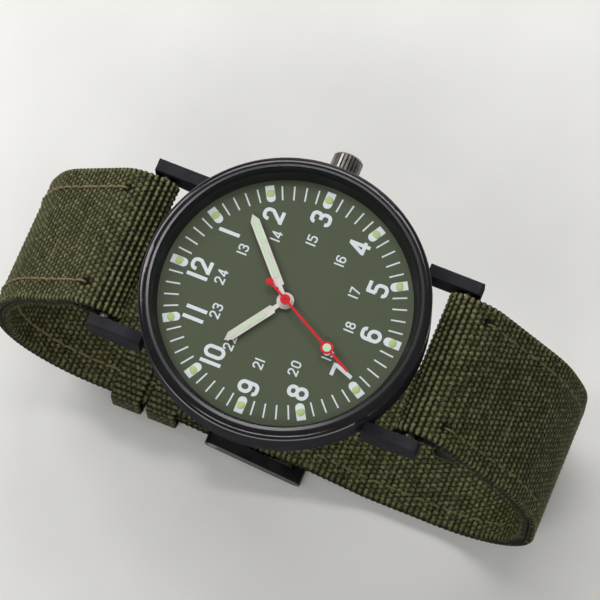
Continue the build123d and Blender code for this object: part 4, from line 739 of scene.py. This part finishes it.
@dataclass(frozen=True)
class Weave:
    """Plain weave of thick yarn: ribs of joined beads, each rib half a pair beside the last."""

    end_pair: float = 0.78
    row: float = 0.9
    depth: float = 0.27
    rib_fullness: float = 0.6
    saddle: float = 0.42
    groove: float = 0.2
    wander: float = 0.5
    wander_beat: float = 5.3
    unevenness: float = 0.18
    even_tone: float = 0.6
    edge_width: float = 0.55
    edge_blend: float = 0.25

    def beads(self, across: Points, along: Points) -> Points:
        """Height of the yarn, from 0 in the grooves between ribs to 1 on the beads.

        Args:
            across: Distances across the ribbon.
            along: Distances along it.

        Returns:
            The height at each place.
        """
        count = np.round(along / self.row)
        start = math.pi * count + self.wander * np.sin(self.wander_beat * count)
        bead = 0.5 + 0.5 * np.cos(TURN * across / self.end_pair + start)
        rib = np.abs(np.cos(math.pi * along / self.row)) ** (2 * self.rib_fullness)
        size = 1 + self.unevenness * (self.tone(across, along) - self.even_tone)
        whole = self.groove + (1 - self.groove) * rib
        return size * whole * (self.saddle + (1 - self.saddle) * bead)

    def loops(self, along: Points) -> Points:
        """Height of the loops along an edge, one to each row."""
        return (0.5 + 0.5 * np.cos(TURN * along / self.row)) ** self.rib_fullness

    def tone(self, across: Points, along: Points) -> Points:
        """Number that is the same over one bead and differs from bead to bead.

        Args:
            across: Distances across the ribbon.
            along: Distances along it.

        Returns:
            The number at each place, from 0 to 1.
        """
        count = np.round(along / self.row)
        start = 0.5 * count + self.wander * np.sin(self.wander_beat * count) / TURN
        mark = np.round(across / self.end_pair + start) * 12.9898 + count * 78.233
        value = np.sin(mark) * 43758.5453
        return value - np.floor(value)


@dataclass
class Ribbon:
    """A woven ribbon that follows a closed line, with its outer face on the line."""

    line: Points
    half_width: float
    thickness: float
    weave: Weave = field(default_factory=Weave)
    edge_round: float = 0.4
    columns: int = 155
    lining_columns: int = 9
    edge_angles: tuple[float, ...] = (65.0, 35.0, 0.0, -35.0, -65.0)
    edge_weave: tuple[float, ...] = (0.9, 0.6, 0.2, 0.45, 0.2)
    face_level: float = 0.55
    edge_level: float = 0.4
    edge_swell: float = 0.16
    # Least share of the height kept in the colour, which paints shade on the flatter lining and
    # lower edges, and the cap on that height.
    least_share_in_painted_light: float = 0.3
    highest_relief: float = 1.3

    def __post_init__(self) -> None:
        """Measures the line and sets the rows so that they meet where it closes."""
        self.along = travelled(self.line, closed=True)
        self.length = float(self.along[-1])
        pairs = round(self.length / (2 * self.weave.row))
        self.row_scale = self.weave.row * 2 * pairs / self.length
        ahead = directions(self.line, True)
        shifted = np.roll(self.line, -1, axis=0)
        area = np.sum(self.line[:, 0] * shifted[:, 1] - self.line[:, 1] * shifted[:, 0])
        outward = np.stack([ahead[:, 1], -ahead[:, 0]], axis=1)
        self.outward = outward if area > 0 else -outward

    def at(self, distances: Points) -> tuple[Points, Points]:
        """Reads the line.

        Args:
            distances: Distances along it.

        Returns:
            The places there, and the outward directions.
        """
        table = looped(np.hstack([self.line, self.outward]))
        read = between(np.mod(distances, self.length), self.along, table)
        normal = read[:, 2:] / np.linalg.norm(read[:, 2:], axis=1)[:, None]
        return read[:, :2], normal

    def section(self) -> tuple[Points, Points, Points]:
        """Points once round the ribbon's cut end.

        Returns:
            Distance across, depth below the outer face, and how far up the face each
            point counts as woven, from 0 to 1.
        """
        flat = self.half_width - self.edge_round
        face = np.linspace(-flat, flat, self.columns)
        angles = np.radians(self.edge_angles)
        bulge = flat + self.edge_round * np.cos(angles)
        sink = self.thickness / 2 * (1 - np.sin(angles))
        lining = np.linspace(flat, -flat, self.lining_columns)
        across = np.concatenate([face, bulge, lining, -bulge[::-1]])
        zero = np.zeros(self.columns)
        depth = np.concatenate([zero, sink, np.full(len(lining), self.thickness), sink[::-1]])
        edge = np.array(self.edge_weave)
        woven = np.concatenate([zero + 1, edge, np.zeros(len(lining)), edge[::-1]])
        return across, depth, woven

    def build(
        self,
        name: str,
        stations: Points,
        set_out: Callable[[Points, Points], Points],
        narrowing: Callable[[Points], Points] | None = None,
        shaping: Callable[[Points, Points, Points], Points] | None = None,
    ) -> Piece:
        """Builds the ribbon as one closed mesh.

        Args:
            name: The piece's name.
            stations: Distances along the line at which the ribbon is cut.
            set_out: Turns distances across and places on the line into points.
            narrowing: Share of the full width at each distance.
            shaping: Changes the weave's height, given height, across and along.

        Returns:
            The object, with the height that sets its painted shade and highlight, and the tone and
            cloth place of every point.
        """
        place, outward = self.at(stations)
        across, depth, woven = self.section()
        u = np.broadcast_to(across, (len(stations), len(across)))
        s = np.broadcast_to(stations[:, None] * self.row_scale, u.shape)
        weave = self.weave
        inset = self.half_width - weave.edge_width
        edge = smooth_step(inset - weave.edge_blend, inset, np.abs(u))
        loops = weave.loops(s)
        height = weave.beads(u, s) * (1 - edge) + loops * edge
        if shaping:
            height = shaping(height, u, s)
        proud = (height - self.face_level) * weave.depth * woven
        bulging = np.abs(across) > self.half_width - self.edge_round + 1e-6
        spread = self.edge_swell * (loops - self.edge_level) * bulging * np.sign(across)
        share = narrowing(stations)[:, None] if narrowing else 1.0
        spine = place[:, None, :] + outward[:, None, :] * (proud - depth)[..., None]
        points = set_out((u + spread) * share, spine).reshape(-1, 3)
        piece = new_piece(name, points, grid_faces(len(stations), len(across)))
        # Height read by the yarn's colour: the lining and lower edges keep only part of it, which
        # paints shade there.
        painted_light_relief = np.clip(height * np.maximum(woven, self.least_share_in_painted_light), 0, self.highest_relief)
        self.keep(piece, "painted_light_relief", "FLOAT", painted_light_relief)
        self.keep(piece, "tone", "FLOAT", weave.tone(u, s))
        self.keep(piece, "cloth", "FLOAT_VECTOR", np.stack([u, s, np.zeros_like(u)], axis=-1))
        return piece

    @staticmethod
    def keep(piece: Piece, name: str, kind: str, values: Points) -> None:
        """Stores a value for every point of a mesh."""
        attribute = piece.data.attributes.new(name, kind, "POINT")
        key = "vector" if kind == "FLOAT_VECTOR" else "value"
        attribute.data.foreach_set(key, values.reshape(-1).astype(np.float32))


# The strap


@dataclass
class Strap:
    """The two-layer woven strap: the buckle half from 12 o'clock and the tail from 6.

    Pairs of values that are read by the half give the buckle half's first.
    """

    half_width: float = 10.4
    thickness: float = 2.1
    layer: float = 1.02
    bar_place: float = 22.4
    bar_height: float = -2.6
    bar_eye: float = 2.15
    lap: float = 5.4
    loop_corners: tuple = ((26.0, -1.5), (37.5, -14.5), (40.9, -24.0))
    loop_radii: tuple = (5.0, 18.0, 20.0, 14.0)
    floor: float = -44.6
    pin_place: float = 7.5
    pin_eye: float = 2.0
    pin_taper: float = 5.0
    tail_drop: float = 3.6
    tail_run: tuple = (
        (16.0, 3.6), (7.0, 1.1), (4.0, 1.1), (-6.8, 3.4), (-9.0, 3.4), (-13.5, 2.4), (-26.0, 2.4)
    )
    tail_bend: float = 6.0
    point_length: float = 7.0
    point_width: float = 6.0
    hole_places: tuple = (106.7, 99.7, 92.7, 85.7, 78.7, 71.7, 64.7, 57.7)
    hole_size: tuple = (4.2, 1.9)
    rim_room: float = 0.1
    rim_sink: float = 0.02
    rim_radius: float = 0.2
    slot_width: float = 3.2
    slot_shift: float = 1.0
    slot_room: float = 1.2
    turn_room: float = 3.0
    fine_step: float = 0.15
    coarse_step: float = 0.24
    fine_start: float = -4.0
    fine_length: float = 42.0
    fold_start: Pair = (-5.0, -3.5)
    fold_end: Pair = (0.4, 2.6)
    fold_depths: Pair = (1.1, 0.45)
    fold_swell: float = 0.3
    dimple_size: Pair = (0.45, 0.6)
    dimple_depth: float = 1.3
    seam_start: float = 4.2
    seam_end: float = 12.0
    seam_gaps: Pair = (3.5, 6.0)
    seam_insets: Pair = (3.1, 2.5)
    seam_rises: Pair = (0.16, -0.08)
    stitch: float = 2.3
    stitch_room: float = 0.12
    stitch_sink: float = 0.42
    stitch_points: int = 7
    thread: float = 0.17

    @property
    def half_band(self) -> float:
        """Half the strap's full thickness."""
        return self.thickness / 2

    def middle(self, tail: bool) -> Points:
        """Middle line of a half.

        Args:
            tail: Whether this is the tail half.

        Returns:
            The line, as distances out from the middle of the case and heights.
        """
        top = self.bar_height + self.bar_eye - self.half_band
        low = self.floor - (self.tail_drop if tail else 0.0)
        corners = [(self.bar_place, top), *self.loop_corners, (self.loop_corners[-1][0], low)]
        if tail:
            corners += [(place, self.floor - drop) for place, drop in self.tail_run]
            return rounded_line(corners, list(self.loop_radii) + [self.tail_bend] * 6)
        corners.append((self.pin_place, low))
        return rounded_line(corners, self.loop_radii)

    def outline(self, tail: bool) -> Points:
        """Closed outer line of a half: along the top, round the end, back and round the bar.

        Args:
            tail: Whether this is the tail half.

        Returns:
            The line, in even steps.
        """
        line = self.middle(tail)
        gone = travelled(line)
        reach = self.half_band
        radius, count = (reach, 14) if tail else (self.pin_eye, 24)
        if tail:
            line = line[gone < gone[-1] - reach]
        left = (gone[-1] - gone)[: len(line)]
        growth = reach + (radius - reach) * np.clip(1 - left / self.pin_taper, 0, 1)
        outer, inner = beside(line, growth), beside(line, -growth)
        end = arc(line[-1], radius, 270.0, 90.0, count)[1:-1]
        back = inner[::-1]
        back = back[: np.argmax(travelled(back) > travelled(inner)[-1] - self.lap)]
        eye = arc((self.bar_place, self.bar_height), self.bar_eye, 290.0, 90.0, 30)
        return evened(np.vstack([outer[1:], end, back, eye]))

    def stations(self, length: float) -> Points:
        """Distances at which a half is cut, closer along the stretch near the case."""
        fine = np.arange(self.fine_start, self.fine_length, self.fine_step)
        rest = length - self.fine_length + self.fine_start
        count = int(rest / self.coarse_step)
        coarse = self.fine_length + np.linspace(0, rest, count, endpoint=False)
        return np.concatenate([fine, coarse])

    def folds(self, tail: bool, height: Points, across: Points, along: Points) -> Points:
        """Opens the rows over the bar and presses a dimple where each seam starts.

        Args:
            tail: Whether this is the tail half.
            height: Height of the weave.
            across: Distances across the strap.
            along: Distances along its line.

        Returns:
            The changed height.
        """
        # The yarn's colour follows this height, so the deeper grooves and dimples also take painted
        # shade.
        groove = (0.5 - 0.5 * np.cos(TURN * along / Weave.row)) ** 2
        near = smooth_step(*self.fold_start, along) * (1 - smooth_step(*self.fold_end, along))
        height = height * (1 + self.fold_swell * near) - self.fold_depths[tail] * near * groove
        wide, long = self.dimple_size
        for side in (-1, 1):
            seam = side * (self.half_width - self.seam_insets[tail])
            spot = ((across - seam) / wide) ** 2 + ((along - self.seam_start) / long) ** 2
            height = height - self.dimple_depth * np.exp(-spot)
        return height

    def tip_share(self, ribbon: Ribbon, distances: Points) -> Points:
        """Share of the full width, which falls towards the tail's tip.

        Args:
            ribbon: The tail's ribbon.
            distances: Distances along its line.

        Returns:
            The share at each distance.
        """
        place = ribbon.line
        deep = place[:, 1] < self.floor
        lead = -place[:, 0] - (-self.tail_run[-1][0] - self.point_length)
        drop = 1 - self.point_width / (2 * self.half_width)
        shares = np.where(deep, 1 - drop * np.clip(lead / self.point_length, 0, 1), 1.0)
        return np.interp(np.mod(distances, ribbon.length), ribbon.along[:-1], shares)

    def seams(self, ribbon: Ribbon, side: int, tail: bool) -> Shape:
        """Stitches of both seams along the whole outer line, apart from its folds.

        Args:
            ribbon: The half's ribbon.
            side: 1 towards 12 o'clock, -1 towards 6.
            tail: Whether this is the tail half.

        Returns:
            The stitches' points and faces.
        """
        shapes = []
        start = self.seam_start
        turn = self.end_of_face(ribbon)
        while start + self.stitch < ribbon.length - self.seam_end:
            if abs(start + self.stitch / 2 - turn) > self.seam_gaps[tail]:
                count, room = self.stitch_points, self.stitch_room
                place, outward = ribbon.at(start + np.linspace(room, self.stitch - room, count))
                dip = self.stitch_sink * np.abs(np.linspace(-1, 1, count)) ** 4
                spine = place + outward * (self.seam_rises[tail] - dip)[:, None]
                for edge in (-1, 1):
                    x = np.full(count, edge * (self.half_width - self.seam_insets[tail]))
                    line = np.stack([x, side * spine[:, 0], spine[:, 1]], axis=1)
                    shapes.append(tube(line, self.thread, 6, False))
            start += self.stitch
        return gathered(shapes)

    def end_of_face(self, ribbon: Ribbon) -> float:
        """Distance along the outer line at which it turns round the pin or the tip."""
        low = ribbon.line[:, 1] < self.floor + self.turn_room
        reach = np.where(low, ribbon.line[:, 0], np.inf)
        return float(ribbon.along[int(np.argmin(reach))])

    @staticmethod
    def slot_ring(place: Points, ahead: Points, length: float, width: float) -> Points:
        """Closed outline of a round-ended slot that lies along the strap.

        Args:
            place: Its centre in the (Y, Z) plane.
            ahead: Direction along the strap in that plane.
            length: Whole length of the slot.
            width: Width of the slot.

        Returns:
            Points of the outline in space.
        """
        reach = (length - width) / 2
        ends = [arc((reach, 0), width / 2, -90, 90, 11), arc((-reach, 0), width / 2, 90, 270, 11)]
        flat = np.vstack(ends)
        along = place[None, :] + flat[:, :1] * ahead[None, :]
        return np.stack([flat[:, 1], along[:, 0], along[:, 1]], axis=1)

    def holes(self) -> tuple[Shape, Shape]:
        """Makes the tail's holes.

        Returns:
            The cutters, and the melted rims round the holes.
        """
        line = self.middle(True) * (-1, 1)
        gone = travelled(line)
        ahead = directions(line, False)
        length, width = self.hole_size
        cutters, rims = [], []
        for distance in self.hole_places:
            place, along = between(distance, gone, line), between(distance, gone, ahead)
            up = np.array([0.0, -along[1], along[0]])
            cutters.append(prism(self.slot_ring(place, along, length, width), up * self.thickness))
            rim = self.slot_ring(place, along, length + self.rim_room, width + self.rim_room)
            for level in (-1, 1):
                ring = rim + up * level * (self.half_band - self.rim_sink)
                rims.append(tube(ring, self.rim_radius, 8, True))
        return gathered(cutters), gathered(rims)

    def tongue_slot(self) -> Shape:
        """Cutter of the opening that lets the tongue's ring turn on the pin."""
        place = np.array([self.pin_place - self.slot_shift, self.floor])
        length = 2 * self.pin_eye + self.slot_width
        ring = self.slot_ring(place, np.array([1.0, 0.0]), length, self.slot_width)
        return prism(ring, np.array([0.0, 0.0, self.pin_eye + self.slot_room]))

    def make_half(self, tail: bool) -> None:
        """Builds one half, its holes and its seams.

        Args:
            tail: Whether this is the tail half.
        """
        side = -1 if tail else 1
        end = "6" if tail else "12"
        ribbon = Ribbon(self.outline(tail), self.half_width, self.layer)

        def set_out(width_place: Points, spine: Points) -> Points:
            """Sets the half out on its own side of the case."""
            return np.stack([width_place, side * spine[..., 0], spine[..., 1]], axis=-1)

        narrowing = partial(self.tip_share, ribbon) if tail else None
        stations = self.stations(ribbon.length)
        shaping = partial(self.folds, tail)
        piece = ribbon.build(f"strap_{end}_webbing", stations, set_out, narrowing, shaping)
        if tail:
            cutters, rims = self.holes()
            carve(piece, new_piece("hole_cutters", *cutters, smooth=False))
            place_piece(new_piece("strap_hole_rims", *rims), "root", MELTED_EDGE)
        else:
            carve(piece, new_piece("slot_cutter", *self.tongue_slot(), smooth=False))
        node = "strap_tail_half" if tail else "strap_buckle_half"
        place_piece(piece, "root", STRAP_YARN, [node])
        seams = new_piece(f"strap_{end}_seams", *self.seams(ribbon, side, tail))
        place_piece(seams, "root", SEAM_THREAD_GREEN if tail else SEAM_THREAD)

    def build(self) -> None:
        """Builds both halves."""
        for tail in (False, True):
            self.make_half(tail)


@dataclass
class Keepers:
    """The two woven loops that hold the tail down: one sewn, one that slides."""

    half_width: float = 11.6
    top: float = -42.35
    bottom: float = -49.25
    rounding: float = 1.7
    wall: float = 0.88
    length: float = 4.5
    weave: Weave = Weave(depth=0.18, edge_width=0.5)
    starts: tuple = ((14.2, "fixed_keeper", "root"), (19.9, "free_keeper", "free_keeper"))
    step: float = 0.16

    def outline(self) -> Points:
        """Closed outer line of a loop, in the (X, Z) plane."""
        x, r = self.half_width - self.rounding, self.rounding
        high, low = self.top - r, self.bottom + r
        corners = [((x, high), 90), ((x, low), 0), ((-x, low), -90), ((-x, high), -180)]
        arcs = [arc(centre, r, start, start - 90, 12) for centre, start in corners]
        return evened(np.vstack(arcs), width=2)

    def build(self) -> None:
        """Builds both loops."""
        for start, node, body in self.starts:
            ribbon = Ribbon(
                self.outline(), self.length / 2, self.wall, self.weave,
                edge_round=0.3, columns=31, lining_columns=5,
            )

            def set_out(width_place: Points, spine: Points, middle: float = start) -> Points:
                """Sets the loop out round the strap."""
                y = width_place + middle + self.length / 2
                return np.stack([spine[..., 0], y, spine[..., 1]], axis=-1)

            stations = np.arange(0, ribbon.length - self.step / 2, self.step)
            piece = ribbon.build(f"{node}_webbing", stations, set_out)
            place_piece(piece, body, LOOP_YARN, [node])


# The rigid parts


@dataclass
class Rigid:
    """A sub-assembly whose CAD pieces keep their shape and only take a finish."""

    looks: tuple = ()

    def build(self) -> None:
        """Dresses the pieces."""
        for finish, *nodes in self.looks:
            dress(finish, *nodes)


@dataclass
class Case(Rigid):
    """Case middle, bezel, crystal, back, gaskets, crown tube and movement holder."""

    looks: tuple = (
        (BLACK_CASE, "case_middle"),
        (BLACK_BEZEL, "bezel"),
        (TURNED_STEEL, "case_back"),
        (RUBBER, "crystal_gasket", "case_back_gasket", "crown_gasket"),
        (SATIN_STEEL, "crown_tube"),
        (HOLDER_PLASTIC, "movement_holder"),
        (CLEAR_GLASS, "crystal"),
    )


@dataclass
class Face:
    """The dial, its flange, its printing and the luminous blobs on the hour plots."""

    blob_centre: float = 15.72
    blob_half_width: float = 0.58
    blob_half_length: float = 0.52
    blob_height: float = 0.13
    blob_squareness: float = 2.4
    blob_wobble: float = 0.03
    blob_fullness: float = 0.8
    blob_foot: float = 0.01
    blob_top: float = 0.12
    print_top: float = 0.04
    rings: int = 7
    sides: int = 28
    seed: int = 7

    def blob(self, hour: int, rng: np.random.Generator) -> Shape:
        """One domed blob of luminous paint with an uneven rim.

        Args:
            hour: The hour whose plot it lies on.
            rng: Source of the unevenness.

        Returns:
            Its points and faces.
        """
        angles = np.arange(self.sides) * TURN / self.sides
        phases = rng.uniform(0, TURN, 3)
        waves = [np.sin((k + 2) * angles + p) for k, p in enumerate(phases)]
        wobble = 1 + sum(self.blob_wobble * wave for wave in waves)
        power = self.blob_squareness
        square = (np.abs(np.cos(angles)) ** power + np.abs(np.sin(angles)) ** power) ** (-1 / power)
        rim_x = self.blob_half_width * np.cos(angles) * square * wobble
        rim_y = self.blob_half_length * np.sin(angles) * square * wobble
        points = [np.stack([rim_x, rim_y, np.full(self.sides, self.print_top)], axis=1)]
        for share in np.sin(np.linspace(1, self.blob_top, self.rings) * math.pi / 2):
            dome = self.blob_height * math.sqrt(max(1 - share**2, 0)) ** self.blob_fullness
            rise = self.print_top + dome + self.blob_foot
            level = np.full(self.sides, rise)
            points.append(np.stack([rim_x * share, rim_y * share, level], axis=1))
        flat = np.vstack(points)
        turn = -TURN * hour / HOURS
        x = flat[:, 0] * math.cos(turn) - (flat[:, 1] + self.blob_centre) * math.sin(turn)
        y = flat[:, 0] * math.sin(turn) + (flat[:, 1] + self.blob_centre) * math.cos(turn)
        faces = grid_faces(self.rings + 1, self.sides, closed=False)
        return np.stack([x, y, flat[:, 2]], axis=1), faces

    def build(self) -> None:
        """Dresses the dial and lays the blobs."""
        dress(DIAL_GREEN, "dial")
        dress(FLANGE_BLACK, "rehaut_ring")
        dress(PRINT_WHITE, "hour_markers", "minute_track", "hour_numerals", "inner_numerals")
        rng = np.random.default_rng(self.seed)
        blobs = new_piece("plot_lume_blobs", *gathered([self.blob(h, rng) for h in range(HOURS)]))
        place_piece(blobs, "root", PLOT_LUME, ["marker_lume"])


@dataclass
class Hands(Rigid):
    """The three hands with their luminous inserts."""

    looks: tuple = (
        (HAND_STEEL, "hour_hand", "minute_hand"),
        (HAND_LUME, "hour_hand_lume", "minute_hand_lume", "second_hand_lume"),
        (HAND_RED, "second_hand"),
    )


@dataclass
class Crown(Rigid):
    """The winding crown and its stem."""

    looks: tuple = ((CROWN_STEEL, "crown"), (SATIN_STEEL, "stem"))


@dataclass
class Movement(Rigid):
    """The quartz movement under the dial."""

    looks: tuple = (
        (PLATE_NICKEL, "main_plate", "train_bridge"),
        (BRUSHED_STEEL, "battery_clamp", "setting_lever"),
        (SATIN_STEEL, "bridge_screws", "timing_crystal"),
        (WHEEL_BRASS, "third_wheel", "centre_wheel", "minute_wheel", "hour_wheel"),
        (ARBOR_STEEL, "fourth_wheel"),
        (WHEEL_PLASTIC, "intermediate_wheel"),
        (ROTOR_GREY, "rotor"),
        (STATOR_IRON, "stator"),
        (COIL_COPPER, "drive_coil"),
        (TURNED_STEEL, "battery_cell"),
        (BOARD_GREEN, "circuit_board"),
    )


@dataclass
class SpringBars:
    """The two sprung bars between the lugs."""

    ends: tuple = ("12", "6")

    def build(self) -> None:
        """Dresses the tubes, springs and tips."""
        for end in self.ends:
            tips = [f"spring_bar_tip_{end}_{side}_side" for side in ("crown", "far")]
            dress(SATIN_STEEL, f"spring_bar_tube_{end}", *tips)
            dress(BRUSHED_STEEL, f"spring_bar_spring_{end}")


@dataclass
class Buckle(Rigid):
    """The buckle's frame, pin and tongue."""

    looks: tuple = ((BLACK_BUCKLE, "buckle_frame", "buckle_tongue"), (SATIN_STEEL, "buckle_bar"))


# The studio


@dataclass
class Photograph:
    """The camera, where the photograph was taken from."""

    place: tuple = (-116.414, -58.112, 424.881)
    right: tuple = (0.38227, -0.92390, -0.01682)
    up: tuple = (0.88599, 0.36129, 0.29067)
    forward: tuple = (0.26247, 0.12602, -0.95668)
    lens: float = 197.08
    sensor: float = 36.0
    reach: tuple = (0.01, 20.0)

    def build(self) -> None:
        """Sets up the camera."""
        data = bpy.data.cameras.new("camera")
        data.lens = self.lens
        data.sensor_width = self.sensor
        data.clip_start, data.clip_end = self.reach
        camera = bpy.data.objects.new("camera", data)
        back = -Vector(self.forward)
        turn = Matrix((Vector(self.right), Vector(self.up), back)).transposed()
        camera.matrix_world = Matrix.Translation(Vector(self.place) * MM) @ turn.to_4x4()
        bpy.context.scene.collection.objects.link(camera)
        bpy.context.scene.camera = camera


@dataclass(frozen=True)
class Lamp:
    """One soft box."""

    name: str
    place: tuple
    size: tuple
    power: float
    target: tuple = (0, 0, -20)

    def build(self) -> None:
        """Hangs the soft box, turned to the watch."""
        data = bpy.data.lights.new(self.name, "AREA")
        data.shape = "RECTANGLE"
        data.size, data.size_y = self.size[0] * MM, self.size[1] * MM
        data.energy = self.power
        lamp = bpy.data.objects.new(self.name, data)
        lamp.location = Vector(self.place) * MM
        aim = Vector(self.target) * MM - lamp.location
        lamp.rotation_euler = aim.to_track_quat("-Z", "Y").to_euler()
        bpy.context.scene.collection.objects.link(lamp)


@dataclass
class Studio:
    """Pale floor and plain soft light."""

    floor_height: float = -52.56
    floor_reach: float = 3000.0
    floor_colours: tuple[str, str] = ("#dddcd9", "#e2e1de")
    tiles: int = 8
    world: float = 0.3
    lamps: tuple = (
        Lamp("key_box", (225.0, 35.0, 285.0), (280.0, 120.0), 0.6),
        Lamp("left_panel", (-285.0, -20.0, 330.0), (380.0, 90.0), 0.72),
        Lamp("back_panel", (110.0, 340.0, 260.0), (260.0, 200.0), 1.1),
        Lamp("rim_strip", (340.0, 40.0, 80.0), (260.0, 24.0), 0.09),
    )

    def lay_floor(self) -> None:
        """Lays the floor."""
        side = self.tiles + 1
        ticks = np.linspace(-self.floor_reach, self.floor_reach, side)
        grid = np.array([(x, y, self.floor_height + DIAL_DROP) for x in ticks for y in ticks])
        first = np.arange(side * side).reshape(side, side)[:-1, :-1].reshape(-1)
        faces = np.stack([first, first + side, first + side + 1, first + 1], axis=1)
        floor = new_piece("floor", grid, faces.tolist())
        mixer = Mixer("floor_paper")
        paper = mixer.ramp(mixer.noise(60, 3), *zip((0.3, 0.7), self.floor_colours))
        mixer.finish({"Base Color": paper, "Roughness": 0.9, "Specular IOR Level": 0.2})
        floor.data.materials.append(mixer.material)

    def build(self) -> None:
        """Lays the floor, hangs the lamps and sets the world."""
        self.lay_floor()
        for lamp in self.lamps:
            lamp.build()
        world = bpy.data.worlds.new("studio")
        world.use_nodes = True
        back = world.node_tree.nodes["Background"]
        back.inputs["Color"].default_value = (1.0, 1.0, 1.0, 1.0)
        back.inputs["Strength"].default_value = self.world
        bpy.context.scene.world = world
        bpy.context.scene.view_settings.view_transform = "Standard"


def main() -> None:
    """Builds the watch, one sub-assembly after another."""
    logging.basicConfig(level=logging.INFO, format="%(name)s: %(message)s")
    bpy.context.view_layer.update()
    assemblies = (
        Photograph(), Studio(), Case(), Face(), Hands(), Crown(), Movement(), SpringBars(), Strap(),
        Keepers(), Buckle(),
    )
    for assembly in assemblies:
        assembly.build()
        LOG.info("%s is built", type(assembly).__name__)


if __name__ == "__main__":
    main()
